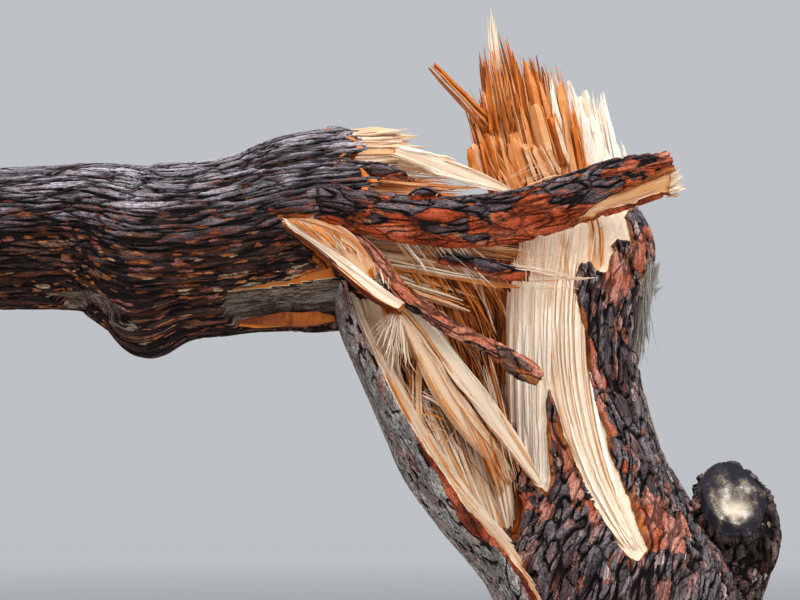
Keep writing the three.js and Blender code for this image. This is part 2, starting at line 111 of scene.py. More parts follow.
# Each lamp's place and target, its size in metres and its power in watts
LAMPS = {
    "sky_lamp": ((-1.5, -0.5, 7.0), (-1.0, 0.0, 1.5), 5.0, 430),
    "front_lamp": ((1.8, -5.5, 4.2), (-0.6, 0.0, 1.9), 3.0, 230),
    "left_lamp": ((-7.5, -4.0, 3.0), (-2.5, 0.0, 1.8), 4.0, 150),
    "back_lamp": ((-1.5, 7.0, 4.0), (-1.5, 0.0, 1.8), 5.0, 240),
}


def add_lamp(name, place, target, size, power):
    """A square soft lamp that faces its target."""
    data = bpy.data.lights.new(name, "AREA")
    data.size = size
    data.energy = power
    lamp = link(name, data)
    aim = np.array(target) - np.array(place)
    lamp.location = place
    lamp.rotation_euler = (math.acos(-aim[2] / np.linalg.norm(aim)), 0, math.atan2(-aim[0], aim[1]))


for lamp_name, settings in LAMPS.items():
    add_lamp(lamp_name, *settings)

sky = bpy.data.worlds.new("sky")
sky.use_nodes = True
sky.node_tree.nodes["Background"].inputs["Color"].default_value = SKY_COLOUR
sky.node_tree.nodes["Background"].inputs["Strength"].default_value = SKY_STRENGTH
bpy.context.scene.world = sky
bpy.context.scene.view_settings.view_transform = "Standard"

floor_mesh = bpy.data.meshes.new("floor")
floor_corners = [(x * FLOOR_REACH, y * FLOOR_REACH, 0) for x, y in ((-1, -1), (1, -1), (1, 1), (-1, 1))]
floor_mesh.from_pydata(floor_corners, [], [(0, 1, 2, 3)])
floor = link("floor", floor_mesh)
print("lamps:", len(LAMPS))

# %% [markdown]
# ## Nodes written as sums
# A finish or a relief is a sum of patterns. Written as Python expressions, such a sum is easier to read than
# a list of nodes and links. `Wire` is one output of a node, and its operators add Math or Vector Math nodes.
# `Net` is the tree that they stand in, and its one method `add` makes any other node.

# %% Wires


class Wire:
    """One output of a node, that can be added, multiplied and so on."""

    def __init__(self, net, socket):
        self.net = net
        self.socket = socket

    def __add__(self, other):
        return self.net.sum("ADD", self, other)

    def __sub__(self, other):
        return self.net.sum("SUBTRACT", self, other)

    def __mul__(self, other):
        return self.net.sum("MULTIPLY", self, other)

    def __truediv__(self, other):
        return self.net.sum("DIVIDE", self, other)

    def __radd__(self, other):
        return self.net.sum("ADD", other, self)

    def __rsub__(self, other):
        return self.net.sum("SUBTRACT", other, self)

    def __rmul__(self, other):
        return self.net.sum("MULTIPLY", other, self)

    def __pow__(self, other):
        return self.net.sum("POWER", self, other)

    def at_most(self, other):
        return self.net.sum("MINIMUM", self, other)

    def at_least(self, other):
        return self.net.sum("MAXIMUM", self, other)

    def step(self, low, high):
        """Rises smoothly from 0 at low to 1 at high."""
        ends = {"Value": self, "From Min": low, "From Max": high}
        return self.net.add("ShaderNodeMapRange", ends, "Result", interpolation_type="SMOOTHSTEP")


def is_vector(value):
    if isinstance(value, Wire):
        return value.socket.type in ("VECTOR", "RGBA")
    return isinstance(value, tuple)


print("three numbers are a vector:", is_vector((0, 0, 1)))

# %% Nets


class Net:
    """A node tree, for a finish or for Geometry Nodes."""

    def __init__(self, tree):
        self.tree = tree

    def add(self, kind, inputs, output=0, **settings):
        """One node: its settings first, then its inputs. Returns the wire of one output."""
        node = self.tree.nodes.new(kind)
        for name, value in settings.items():
            if name == "stops":
                self.set_stops(node.color_ramp, value)
            else:
                setattr(node, name, value)
        for key, value in inputs.items():
            socket = self.pick(node.inputs, key)
            if isinstance(value, Wire):
                self.tree.links.new(value.socket, socket)
            else:
                socket.default_value = value
        return Wire(self, self.pick(node.outputs, output)) if node.outputs else None

    @staticmethod
    def pick(sockets, key):
        if isinstance(key, int):
            return sockets[key]
        by_identifier = [socket for socket in sockets if socket.identifier == key]
        return by_identifier[0] if by_identifier else sockets[key]

    @staticmethod
    def set_stops(ramp, stops):
        while len(ramp.elements) < len(stops):
            ramp.elements.new(1)
        for element, (place, colour) in zip(ramp.elements, stops):
            element.position = place
            element.color = (*colour, 1)

    def sum(self, operation, first, second):
        if not (is_vector(first) or is_vector(second)):
            return self.add("ShaderNodeMath", {0: first, 1: second}, operation=operation)
        pair = [(one,) * 3 if isinstance(one, (int, float)) else one for one in (first, second)]
        return self.add("ShaderNodeVectorMath", {0: pair[0], 1: pair[1]}, operation=operation)

    def noise(self, place, scale, detail=2.0, output="Fac"):
        ends = {"Vector": place, "Scale": scale, "Detail": detail}
        return self.add("ShaderNodeTexNoise", ends, output)

    def streaks(self, place, along, across, detail=2.0, output="Fac"):
        """A noise with so many waves a metre along the stem, and so many across it."""
        return self.noise(place * (along, across, across), 1.0, detail, output)

    def mix(self, share, first, second):
        """A colour between two colours."""
        colours = [(*one, 1) if isinstance(one, tuple) else one for one in (first, second)]
        ends = {"Factor_Float": share, "A_Color": colours[0], "B_Color": colours[1]}
        return self.add("ShaderNodeMix", ends, "Result_Color", data_type="RGBA")

    def ramp(self, share, stops):
        return self.add("ShaderNodeValToRGB", {"Fac": share}, "Color", stops=stops)

    def note(self, name, kind="FLOAT"):
        """What Geometry Nodes read of a note that the mesh carries at each of its points."""
        return self.add("GeometryNodeInputNamedAttribute", {"Name": name}, "Attribute", data_type=kind)

    def end_tree(self, geometry, finish):
        """Geometry Nodes hand this geometry on as their result, in its finish."""
        real = self.add("GeometryNodeRealizeInstances", {"Geometry": geometry})
        dressed = self.add("GeometryNodeSetMaterial", {"Geometry": real, "Material": finish})
        self.tree.links.new(dressed.socket, self.tree.nodes.new("NodeGroupOutput").inputs[0])


def geometry_net(name, inputs):
    """A net of Geometry Nodes, with a wire for each of its inputs, which are names with their kinds."""
    net = Net(bpy.data.node_groups.new(name, "GeometryNodeTree"))
    for socket, kind in inputs.items():
        net.tree.interface.new_socket(socket, in_out="INPUT", socket_type="NodeSocket" + kind)
    net.tree.interface.new_socket("Geometry", in_out="OUTPUT", socket_type="NodeSocketGeometry")
    entry = net.tree.nodes.new("NodeGroupInput")
    return net, *(Wire(net, entry.outputs[socket]) for socket in inputs)


print("node groups so far:", len(bpy.data.node_groups))

# %% Finishes, and the floor's own
SHEEN = 0.12
FLOOR_DARK = (0.53, 0.54, 0.55)
FLOOR_LIGHT = (0.57, 0.58, 0.59)
FLOOR_FAR = (0.97, 0.97, 0.97)
FLOOR_FADE = (5.0, 40.0)


def new_finish(name):
    """A material's net with nothing in it but its output."""
    material = bpy.data.materials.new(name)
    material.use_nodes = True
    material.node_tree.nodes.clear()
    return material, Net(material.node_tree)


def end_finish(net, colour, roughness, height, distance=1.0):
    """The shader itself, with the height as its bump, counted in metres unless distance says otherwise."""
    normal = net.add("ShaderNodeBump", {"Height": height, "Distance": distance, "Strength": 1.0}, "Normal")
    ends = {"Base Color": colour, "Roughness": roughness, "Normal": normal, "Specular IOR Level": SHEEN}
    surface = net.add("ShaderNodeBsdfPrincipled", ends, "BSDF")
    net.add("ShaderNodeOutputMaterial", {"Surface": surface})


floor_finish, floor_net = new_finish("pale_floor")
floor_place = floor_net.add("ShaderNodeTexCoord", {}, "Object")
floor_way = floor_net.add("ShaderNodeVectorMath", {0: floor_place}, "Value", operation="LENGTH")
floor_near = floor_net.mix(floor_net.noise(floor_place, 0.6), FLOOR_DARK, FLOOR_LIGHT)
floor_colour = floor_net.mix(floor_way.step(*FLOOR_FADE), floor_near, FLOOR_FAR)
end_finish(floor_net, floor_colour, 0.9, floor_net.noise(floor_place, 40.0), distance=MM)
floor_mesh.materials.append(floor_finish)
print("finishes so far:", len(bpy.data.materials))

# %% [markdown]
# ## How bark breaks
# Bark is dead tissue that can't stretch, so the growing stem splits it into long flat plates with narrow
# fissures that wind, fork and meet. Where a noise that is stretched along the stem passes its middle value,
# it draws just such lines. A few Voronoi edges break the plates across. The same function serves twice:
# Geometry Nodes raise the real relief of the mesh with it, and the finish colours plates and fissures with
# it, so that both always agree.

# %% Plates and chips


def cells(net, place, length, width, waviness, output="Distance", feature="F1"):
    """Long wavy cells along a stem. A place is (along, across, across) in metres."""
    squeezed = place * (1 / length, 1 / width, 1 / width)
    drift = net.noise(squeezed, 0.55, 3.0, "Color")
    ends = {"Vector": squeezed + (drift - 0.5) * waviness, "Scale": 1.0}
    return net.add("ShaderNodeTexVoronoi", ends, output, feature=feature)


def split_distance(net, place, length, width):
    """How far a spot is from the nearest winding split, as a share of a plate's width, roughly."""
    wind = (net.streaks(place, 7, 16, 3, "Color") - 0.5) * (0.05, 0.010, 0.010)
    field = net.streaks(place + wind, 1 / length, 1 / width, 1)
    return (field.at_least(1 - field) - 0.5) * 2.6


def plates(net, place, bark):
    """How far a spot is from the nearest fissure, and from the nearest fine crack on a plate."""
    length = bark["length"]
    width = bark["width"]
    along = split_distance(net, place, length, width)
    across = cells(net, place, 0.8 * length, 1.5 * width, bark["wave"], feature="DISTANCE_TO_EDGE")
    crack = split_distance(net, place + 3.7, 0.42 * length, 0.36 * width)
    return along.at_most(across * 1.5 + 0.07), crack


def scales(net, place):
    """Thin scales that lie on one another: the height of the stack, and how far a spot is from an edge."""
    field = net.streaks(place, 24, 75, 3) * 10.0
    level = net.add("ShaderNodeMath", {0: field}, operation="FLOOR")
    part = field - level
    return level + part.step(0.0, 0.2), part.step(0.0, 0.13)


def bark_height(net, place, bark):
    """0 in the deepest fissure and about 1 on top of a plate."""
    gap, crack = plates(net, place, bark)
    swell = net.streaks(place, 5, 16, 2)
    return gap.step(0.02, 0.16) * (0.62 + 0.16 * crack.step(0.0, 0.14)) + 0.5 * swell


def wood_height(net, place):
    """Ridges of the grain on bare wood, from -1 to 1."""
    coarse = net.streaks(place, 1.6, 70, 3)
    fine = net.streaks(place, 5, 260, 2)
    return (coarse - 0.5) * 1.3 + (fine - 0.5) * 0.7


TORN_EDGE = 0.022


def bare_edge(net, place, bare):
    """How far inside the bare wood a spot is, in metres, with a torn outline."""
    return bare + (net.streaks(place, 9, 34, 4) - 0.5) * TORN_EDGE


print("a torn outline strays by up to", TORN_EDGE / 2 / MM, "mm")

# %% Relief by Geometry Nodes
# Plate length and width, waviness, and the relief's depth, in metres
TRUNK_BARK = {"length": 0.130, "width": 0.034, "wave": 1.2, "depth": 0.015}
BOLE_BARK = {"length": 0.260, "width": 0.022, "wave": 1.1, "depth": 0.011}
SHELL_BARK = {"length": 0.085, "width": 0.030, "wave": 1.2, "depth": 0.007}
STRIP_BARK = {"length": 0.100, "width": 0.026, "wave": 1.3, "depth": 0.009}
BOUGH_BARK = {"length": 0.120, "width": 0.018, "wave": 1.2, "depth": 0.006}
BARE_DEPTH = 0.016
GRAIN_HEIGHT = 0.0035
# The height of bark, as a share of its depth, that lies on the limb's own grid
GRID_HEIGHT = 0.75


def relief_tree(name, bark):
    """Geometry Nodes that push a limb's plates out and its bare wood in, along the surface's normal."""
    inputs = {"Limb": "Geometry", "Depth": "Float", "Finish": "Material"}
    net, limb, depth, finish = geometry_net(name, inputs)
    place = net.note("place", "FLOAT_VECTOR")
    wood = bare_edge(net, place, net.note("bare")).step(-0.004, 0.003)
    bark_rise = (bark_height(net, place, bark) - GRID_HEIGHT) * depth
    wood_rise = wood_height(net, place) * GRAIN_HEIGHT - BARE_DEPTH
    rise = (bark_rise * (1 - wood) + wood_rise * wood) * (1 - net.note("hold"))
    offset = net.add("GeometryNodeInputNormal", {}, "Normal") * rise
    net.end_tree(net.add("GeometryNodeSetPosition", {"Geometry": limb, "Offset": offset}), finish)
    return net.tree


def run_nodes(source, tree, inputs):
    """Runs a tree on an object and returns the result as a plain mesh. The source object is removed."""
    modifier = source.modifiers.new("nodes", "NODES")
    modifier.node_group = tree
    for item in tree.interface.items_tree:
        if item.in_out == "INPUT" and item.name in inputs:
            modifier[item.identifier] = inputs[item.name]
    graph = bpy.context.evaluated_depsgraph_get()
    mesh = bpy.data.meshes.new_from_object(source.evaluated_get(graph))
    bpy.data.objects.remove(source)
    return mesh


print("bare wood lies", BARE_DEPTH / MM, "mm under the bark")

# %% [markdown]
# ## Limbs as grids
# Every trunk, bough and strip of bark is a tube along a smooth curve through a few stations, each with its
# place, its half height and its half depth. The stations are the frame's own, so the tubes lie where the
# solids do. Numpy makes each tube as a grid of rings, fine where the picture looks close and coarser
# elsewhere, and notes at each point how far along and across the limb it is. That note carries the patterns.

# %% Curves through stations
CURVE_SAMPLES = 4000


def curve_cubics(stations):
    """One cubic for each stretch between stations: a centripetal curve, with the radii as further columns."""
    points = np.array(stations, float)
    padded = np.vstack((2 * points[0] - points[1], points, 2 * points[-1] - points[-2]))
    steps = np.linalg.norm(np.diff(padded[:, :3], axis=0), axis=1) ** 0.5
    before, middle, after = (steps[k:k + len(points) - 1, None] for k in range(3))
    p0, p1, p2, p3 = (padded[k:k + len(points) - 1] for k in range(4))
    start = ((p1 - p0) / before - (p2 - p0) / (before + middle) + (p2 - p1) / middle) * middle
    end = ((p2 - p1) / middle - (p3 - p1) / (middle + after) + (p3 - p2) / after) * middle
    return np.stack((p1, start, 3 * (p2 - p1) - 2 * start - end, 2 * (p1 - p2) + start + end))


def curve_values(stations, shares):
    """What the curve's columns are at each share of the stations, from 0 to 1."""
    cubics = curve_cubics(stations)
    place = np.clip(shares, 0, 1) * (len(stations) - 1)
    stretch = np.minimum(place.astype(int), len(stations) - 2)
    part = (place - stretch)[:, None]
    c0, c1, c2, c3 = cubics[:, stretch]
    return c0 + part * (c1 + part * (c2 + part * c3))


def between(ends, share):
    return ends[0] + (ends[1] - ends[0]) * share


def unit(vectors):
    return vectors / np.maximum(np.linalg.norm(vectors, axis=-1, keepdims=True), 1e-12)


def filled(stations):
    """Stations with their half depth written out where it equals the half height."""
    return [(*one, one[3]) if len(one) == 4 else tuple(one) for one in stations]


def sized(radius, stations):
    """Stations whose half height and half depth are given as shares of one radius."""
    return [(*one[:3], *(share * radius for share in one[3:])) for one in stations]


def graded_shares(stations, spacing):
    """Shares along a limb so that its rings lie as far apart as spacing(point) says, in millimetres."""
    shares = np.linspace(0, 1, CURVE_SAMPLES)
    points = curve_values(filled(stations), shares)[:, :3]
    steps = np.linalg.norm(np.diff(points, axis=0), axis=1)
    wanted = np.array([spacing(point) for point in points[1:]])
    count = np.concatenate(([0], np.cumsum(steps / wanted)))
    return np.interp(np.linspace(0, count[-1], math.ceil(count[-1]) + 1), count, shares)


def ring_angles(sides, crowding=0.0):
    """Angles round a limb, if crowded closer together on the side that faces the camera."""
    even = np.arange(sides) * 2 * math.pi / sides
    return even + crowding * np.sin(-math.pi / 2 - even)


def squared(values, roundness):
    """Turns a circle's sine or cosine into that of a square with round corners, for a low roundness."""
    return np.sign(values) * np.abs(values) ** roundness


print("angles of a crowded ring:", np.degrees(ring_angles(8, 0.3)).round())

# %% Limbs as grids of rings
# How far ahead and behind, as shares of a limb, its direction is taken
NEARBY = 0.0001
# The patterns run this much faster over a hollow end
END_STRETCH = 3


def add_note(mesh, name, values):
    """Writes a note on the mesh: one row for each point, of one number or of three."""
    kind, field = ("FLOAT_VECTOR", "vector") if values.shape[1] == 3 else ("FLOAT", "value")
    attribute = mesh.attributes.new(name, kind, "POINT")
    attribute.data.foreach_set(field, values.astype(np.float32).ravel())


class Limb:
    """A bent tube as a grid of rings, with what its finish reads at each point."""

    def __init__(self, stations, shares, angles, level=False, depth_axis=(0, 1, 0), swell=None, twist=None,
                 roundness=1.0):
        stations = filled(stations)
        values = curve_values(stations, shares)
        centre = values[:, :3] * MM
        nearby = np.clip(shares, NEARBY, 1 - NEARBY)
        ahead, behind = (curve_values(stations, nearby + step)[:, :3] for step in (NEARBY, -NEARBY))
        along = unit(ahead - behind)
        if level:
            along = np.tile((0.0, 0.0, 1.0), (len(shares), 1))
        across = unit(np.cross(along, np.array(depth_axis, float)))
        deep = np.cross(across, along)
        swelling = swell(centre[:, 2:], angles[None, :]) if swell else np.ones((len(shares), len(angles)))
        width = values[:, 3:4] * MM * swelling * squared(np.cos(angles), roundness)
        depth = values[:, 4:5] * MM * swelling * squared(np.sin(angles), roundness)
        arc = np.concatenate(([0], np.cumsum(np.linalg.norm(np.diff(centre, axis=0), axis=1))))
        turn = (twist(centre) if twist else np.zeros(len(shares)))[:, None]
        self.centre = centre
        self.along = along
        self.points = centre[:, None] + across[:, None] * width[..., None] + deep[:, None] * depth[..., None]
        turned = (width * np.cos(turn) - depth * np.sin(turn), width * np.sin(turn) + depth * np.cos(turn))
        self.place = np.stack((np.broadcast_to(arc[:, None], width.shape), *turned), axis=2)
        self.angles = angles
        self.notes = {name: np.zeros(width.shape) for name in ("rise", "tone", "hold")}
        self.notes["bare"] = np.full(width.shape, -1.0)
        self.notes["rust"] = np.full(width.shape, -1.0)
        self.notes["rise"] = self.normals()[..., 2]
        self.body = None

    def normals(self):
        """The outward direction at each point of the grid."""
        round_way = np.roll(self.points, -1, axis=1) - np.roll(self.points, 1, axis=1)
        along_way = np.gradient(self.points, axis=0)
        found = unit(np.cross(round_way, along_way))
        outwards = self.points - self.centre[:, None]
        return found * np.sign(np.sum(found * outwards, axis=(1, 2), keepdims=True))

    def cap(self, last, hollow, rings, tone, hold=0.0):
        """Closes one end with rings that shrink to its middle, which lies hollow metres inside the rim."""
        if self.body is None:
            self.body = (self.points, self.normals(), self.notes["bare"], self.notes["tone"])
        edge = -1 if last else 0
        way = self.along[edge] * (-1 if last else 1)
        shares = np.linspace(1, 0, rings + 1)[1:, None, None]
        middle = self.points[edge].mean(axis=0)
        sunk = hollow * (1 - shares ** 2)
        ring_points = middle + (self.points[edge] - middle) * shares + way * sunk
        ring_places = self.place[edge] * shares
        ring_places[..., 0] = self.place[edge, :, 0] + sunk[..., 0] * END_STRETCH
        notes = {"rise": 0.0, "tone": tone, "hold": hold, "bare": 0.1, "rust": -1.0}
        order = slice(None) if last else slice(None, None, -1)
        grids = [(self.points, ring_points[order]), (self.place, ring_places[order])]
        self.points, self.place = (np.concatenate(pair if last else pair[::-1]) for pair in grids)
        for name, value in notes.items():
            pair = (self.notes[name], np.full(ring_points.shape[:2], value))
            self.notes[name] = np.concatenate(pair if last else pair[::-1])

    def close(self, first, last, hold=0.0):
        """Closes both ends, each given as its hollow, its rings and its tone."""
        self.cap(False, *first, hold)
        self.cap(True, *last, hold)

    def to_object(self, name):
        """A closed mesh of the grid: quads, and at each end the last ring's points merge in one pole."""
        rings, sides = self.points.shape[:2]
        inner = slice(1, rings - 1)
        grid = np.arange((rings - 2) * sides).reshape(rings - 2, sides)
        after = np.roll(grid, -1, axis=1)
        quads = np.stack((grid[:-1], after[:-1], after[1:], grid[1:]), axis=2).reshape(-1, 4)
        poles = [np.full(sides, grid.size + k) for k in range(2)]
        first_fan = np.stack((after[0], grid[0], poles[0]), axis=1)
        last_fan = np.stack((grid[-1], after[-1], poles[1]), axis=1)

        def flat(values):
            ends = [values[0].mean(axis=0, keepdims=True), values[-1].mean(axis=0, keepdims=True)]
            return np.concatenate([values[inner].reshape(-1, *values.shape[2:]), *ends])

        points = flat(self.points)
        faces = [*quads.tolist(), *first_fan.tolist(), *last_fan.tolist()]
        corners = np.concatenate([points[quads[:, :3]], points[quads[:, [0, 2, 3]]]])
        volume = np.einsum("ij,ij->i", corners[:, 0], np.cross(corners[:, 1], corners[:, 2])).sum()
        if volume < 0:
            faces = [face[::-1] for face in faces]
        mesh = bpy.data.meshes.new(name)
        mesh.from_pydata(points, [], faces)
        add_note(mesh, "place", flat(self.place))
        for note, values in self.notes.items():
            add_note(mesh, note, flat(values[..., None]))
        return link(name, mesh)


def even_limb(stations, sides, spacing, **options):
    """A limb whose rings lie evenly apart, in millimetres, and whose sides are even too."""
    return Limb(stations, graded_shares(stations, lambda p: spacing), ring_angles(sides), **options)


metre_limb = even_limb([(0, 0, 0, 50), (0, 0, 1000, 50)], 8, 100)
print("rings and sides of a plain limb of one metre:", metre_limb.points.shape[:2])

# %% Finished pieces


def triangle_count(mesh):
    return sum(len(face.vertices) - 2 for face in mesh.polygons)


def add_piece(name, mesh, slot, nodes):
    """A finished piece that rides on the tree's one body and stands for the solids that are named."""
    piece = link(name, mesh)
    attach(piece, "root")
    if nodes:
        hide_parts(*nodes)
    print(name, triangle_count(mesh), "triangles")
    return piece


# %% [markdown]
# ## The finish of bark and bare wood
# Weathered bark is grey and mauve on its plates, and their upper sides are painted paler, towards the sky's
# colour, as a painted sky reflection. In its fissures it is nearly black, partly its own dark and partly
# painted shade. Where thin scales have fallen off, lens-shaped patches of younger bark show pink, orange or
# rust. Under the bark lies red inner
# bark, and under that the wood, ivory at the outside of the stem and orange at its heart. One finish shows
# all of them, because on the tree they run into each other: it reads the notes of each limb to choose.

# %% Wood colours
WEATHERED = (0.36, 0.34, 0.31)
TAN = (0.36, 0.23, 0.12)
BLEACHED = (0.90, 0.82, 0.71)
IVORY = (0.80, 0.64, 0.48)
CREAM = (0.72, 0.51, 0.34)
PEACH = (0.68, 0.33, 0.13)
ORANGE = (0.60, 0.16, 0.018)
RUST = (0.12, 0.024, 0.007)
# A tone of wood runs from -1, weathered, over 0, fresh sapwood, to 1, the darkest heartwood.
WOOD_STOPS = [(0.0, WEATHERED), (0.3, TAN), (0.45, BLEACHED), (0.51, IVORY), (0.6, CREAM), (0.68, PEACH),
              (0.81, ORANGE), (1.0, RUST)]
# Nearly black: partly the bark's own dark deep in a fissure, and partly painted shade in fissures, cracks and
# under scale edges
FISSURE_DARK_AND_SHADE = (0.009, 0.006, 0.006)
INNER_BARK = [(0.0, (0.10, 0.016, 0.006)), (0.3, (0.29, 0.052, 0.016)), (0.6, (0.42, 0.105, 0.050)),
              (1.0, (0.54, 0.24, 0.18))]
TORN_INNER_BARK = [(0.0, (0.11, 0.014, 0.004)), (0.3, (0.33, 0.048, 0.011)), (0.6, (0.45, 0.088, 0.030)),
                   (1.0, (0.54, 0.21, 0.13))]
OLD_WOOD = [(0.30, (0.010, 0.007, 0.005)), (0.50, (0.075, 0.048, 0.032)), (0.72, (0.30, 0.235, 0.18))]
RIM_ORANGE = (0.50, 0.15, 0.035)


def wood_colour(net, tone):
    return net.ramp(tone * 0.5 + 0.5, WOOD_STOPS)


print("wood tones:", len(WOOD_STOPS))

# %% The finish of bark
FRESH_TONES = (-0.4, -0.1)


def read_note(net, name, output="Fac"):
    """A note that the mesh carries at each of its points."""
    return net.add("ShaderNodeAttribute", {}, output, attribute_name=name)


def cell_luck(net, place, length, width, waviness):
    """Three random numbers for each cell, which are the parts of its random colour."""
    colour = cells(net, place, length, width, waviness, "Color")
    node = net.add("ShaderNodeSeparateXYZ", {0: colour}).socket.node
    return [Wire(net, output) for output in node.outputs]


def bark_finish(name, bark, looks):
    """looks: the colours of the plates and inner bark, and the size, rarity and colours of the flakes."""
    material, net = new_finish(name)
    place = read_note(net, "place", "Vector")
    rise = read_note(net, "rise")
    bare = bare_edge(net, place, read_note(net, "bare"))
    plate_luck = cell_luck(net, place, 0.8 * bark["length"], 1.5 * bark["width"], bark["wave"])
    rust = read_note(net, "rust") + (net.streaks(place, 16, 40, 4) - 0.5) * 0.075
    rust = rust + (plate_luck[2] - 0.5) * looks["skin_islands"]

    gap, crack = plates(net, place, bark)
    stack, scale_edge = scales(net, place)
    ragged = net.streaks(place, 45, 150, 3) - 0.5
    deep = (gap + ragged * 0.10).step(0.035, looks["fissure"])
    crack = (crack + ragged * 0.10).step(0.01, 0.09)
    mottle = net.streaks(place, 12, 40, 5)
    thread = net.streaks(place, 14, 330, 2)
    # Upward faces: their plates are mixed towards the looks' sky colour, a painted sky reflection, and carry
    # fewer flakes
    skyward = (rise + 0.9 * mottle - 0.45).step(-0.33, 0.66)
    worn = (mottle * 1.5 + thread * 0.8 - 0.75).step(0.0, 1.0)
    plate_colour = net.mix(worn, looks["dark"], looks["light"])
    plate_colour = net.mix(skyward * looks["sky_reflection_share"] * (0.45 + worn * 0.55), plate_colour, looks["sky"])
    length, width = looks["flake_size"]
    patch = cell_luck(net, place, 2.6 * length, 1.3 * width, 0.9)
    odd = patch[1].step(0.45, 0.7) * (1 - skyward * 0.85) * looks["odd_share"]
    plate_colour = net.mix(odd, plate_colour, net.ramp(patch[0], looks["odd_stops"]))
    plate_colour = plate_colour * (0.30 + 0.75 * plate_luck[0] + stack * 0.08)
    # Fissures, fine cracks and the edges of scales go nearly black: partly the bark's own dark, partly
    # painted shade
    colour = net.mix(deep * (0.30 + crack * 0.70) * (0.35 + scale_edge * 0.65), FISSURE_DARK_AND_SHADE, plate_colour)

    cluster = net.streaks(place, 5, 11, 2) - 0.5
    blob = net.streaks(place, 0.55 / length, 0.55 / width, 1.5)
    drift = ragged * 0.10 + cluster * 0.22
    limit = 0.5 + looks["flake_rarity"] + skyward * looks["sky_rarity"]
    flake = (blob + drift - limit).step(0.0, 0.012)
    sliver = cells(net, place, length, width, 0.7)
    luck = cell_luck(net, place, length, width, 0.7)
    small = (0.37 - sliver + ragged * 0.8).step(0.0, 0.06)
    small = small * (luck[0] - looks["sliver_rarity"]).step(0.0, 0.03)
    flake = flake.at_least(small * (1 - skyward * looks["sky_rarity"] * 3))
    flake_tone = luck[1] * 0.85 + 0.08 + ragged * 0.5 - skyward * looks["sky_pink"]
    flake_colour = net.ramp(flake_tone, looks["flake_stops"])
    flake_colour = net.mix(thread.step(0.52, 0.66) * 0.6, flake_colour, looks["dark"])
    colour = net.mix(flake * looks["flake_strength"], colour, flake_colour)

    skin = (rust + (gap.step(0.0, 0.10) - 1) * 0.004).step(-0.002, 0.001)
    skin_tone = net.streaks(place, 9, 26, 4) * 2.1 - 0.60 + looks["skin_shift"]
    # The red skin's splits go nearly black too, partly as painted shade
    skin_split = (crack * 0.3 + 0.7) * (deep * 0.65 + 0.35) * (0.7 + scale_edge * 0.3)
    skin_colour = net.ramp(skin_tone + plate_luck[1] * 0.4 - 0.2, looks["skin_stops"])
    skin_colour = net.mix(skin_split, FISSURE_DARK_AND_SHADE, skin_colour)
    speckle = net.streaks(place, 150, 420, 3)
    colour = net.mix(skin, colour, skin_colour) * (speckle.step(0.30, 0.70) * looks["speckle"] + 0.55)

    kind = read_note(net, "tone")
    fresh = kind.step(*FRESH_TONES)
    rim_width = 0.003 + 0.012 * net.streaks(place, 6, 8).step(0.4, 0.7)
    rim = (bare + rim_width).step(0.0, 0.003) * fresh
    colour = net.mix(rim, colour, net.mix(mottle.step(0.3, 0.7), RIM_ORANGE, INNER_BARK[0][1]))
    frayed = (thread - 0.5) * 0.05 + (mottle - 0.5) * 0.09
    wood = (bare + (1 - fresh) * frayed * looks["old_thread"]).step(-0.001, 0.001)
    grain = wood_height(net, place)
    streak = net.streaks(place, 1.2, 95, 3) - 0.5
    tone = kind.at_least(0.0) + streak * (0.18 + kind * 0.55) - grain * 0.08
    old_share = thread * looks["old_thread"] + mottle * (1.3 - looks["old_thread"]) + kind * looks["old_tone"]
    old_share = old_share + (speckle - 0.5) * 0.5 - 0.2
    old_wood = net.ramp(old_share, looks["old_stops"])
    colour = net.mix(wood, colour, net.mix(fresh, old_wood, wood_colour(net, tone)))

    plate_bump = (deep + 0.35 * crack) * (0.45 * bark["depth"])
    grit = net.streaks(place, 120, 240, 5) * 0.0040 + ragged * 0.0030
    bark_bump = plate_bump * (1 - skin * 0.6) + (grit + stack * 0.0016) * (1 - skin * 0.4) - flake * 0.0018
    wood_bump = grain * 0.0016 + (1 - fresh) * thread * 0.006
    height = bark_bump * (1 - wood) + wood_bump * wood
    roughness = 0.92 - wood * fresh * 0.25 - skin * 0.2
    end_finish(net, colour, roughness, height)
    return material


print("old wood turns fresh between the tones", FRESH_TONES)

# %% The looks of each kind of bark
# Colours of the flakes and of the odd plates among the others, from dark to pale
TRUNK_FLAKES = [(0.0, (0.22, 0.07, 0.04)), (0.2, (0.36, 0.13, 0.075)), (0.4, (0.34, 0.17, 0.15)),
                (0.7, (0.46, 0.28, 0.24)), (1.0, (0.60, 0.49, 0.45))]
BOLE_FLAKES = [(0.0, (0.24, 0.10, 0.095)), (0.2, (0.26, 0.09, 0.065)), (0.4, (0.16, 0.035, 0.014)),
               (0.65, (0.40, 0.11, 0.024)), (0.85, (0.36, 0.17, 0.075)), (1.0, (0.48, 0.34, 0.23))]
TRUNK_ODD = [(0.0, (0.030, 0.010, 0.008)), (0.35, (0.085, 0.030, 0.020)), (0.6, (0.16, 0.075, 0.062)),
             (0.85, (0.20, 0.13, 0.12)), (1.0, (0.34, 0.29, 0.27))]
BOLE_ODD = [(0.0, (0.022, 0.007, 0.004)), (0.5, (0.075, 0.022, 0.011)), (0.8, (0.13, 0.040, 0.016)),
            (1.0, (0.15, 0.085, 0.060))]
SHELL_FLAKES = [(0.0, (0.20, 0.09, 0.07)), (0.5, (0.30, 0.13, 0.10)), (1.0, (0.42, 0.38, 0.34))]
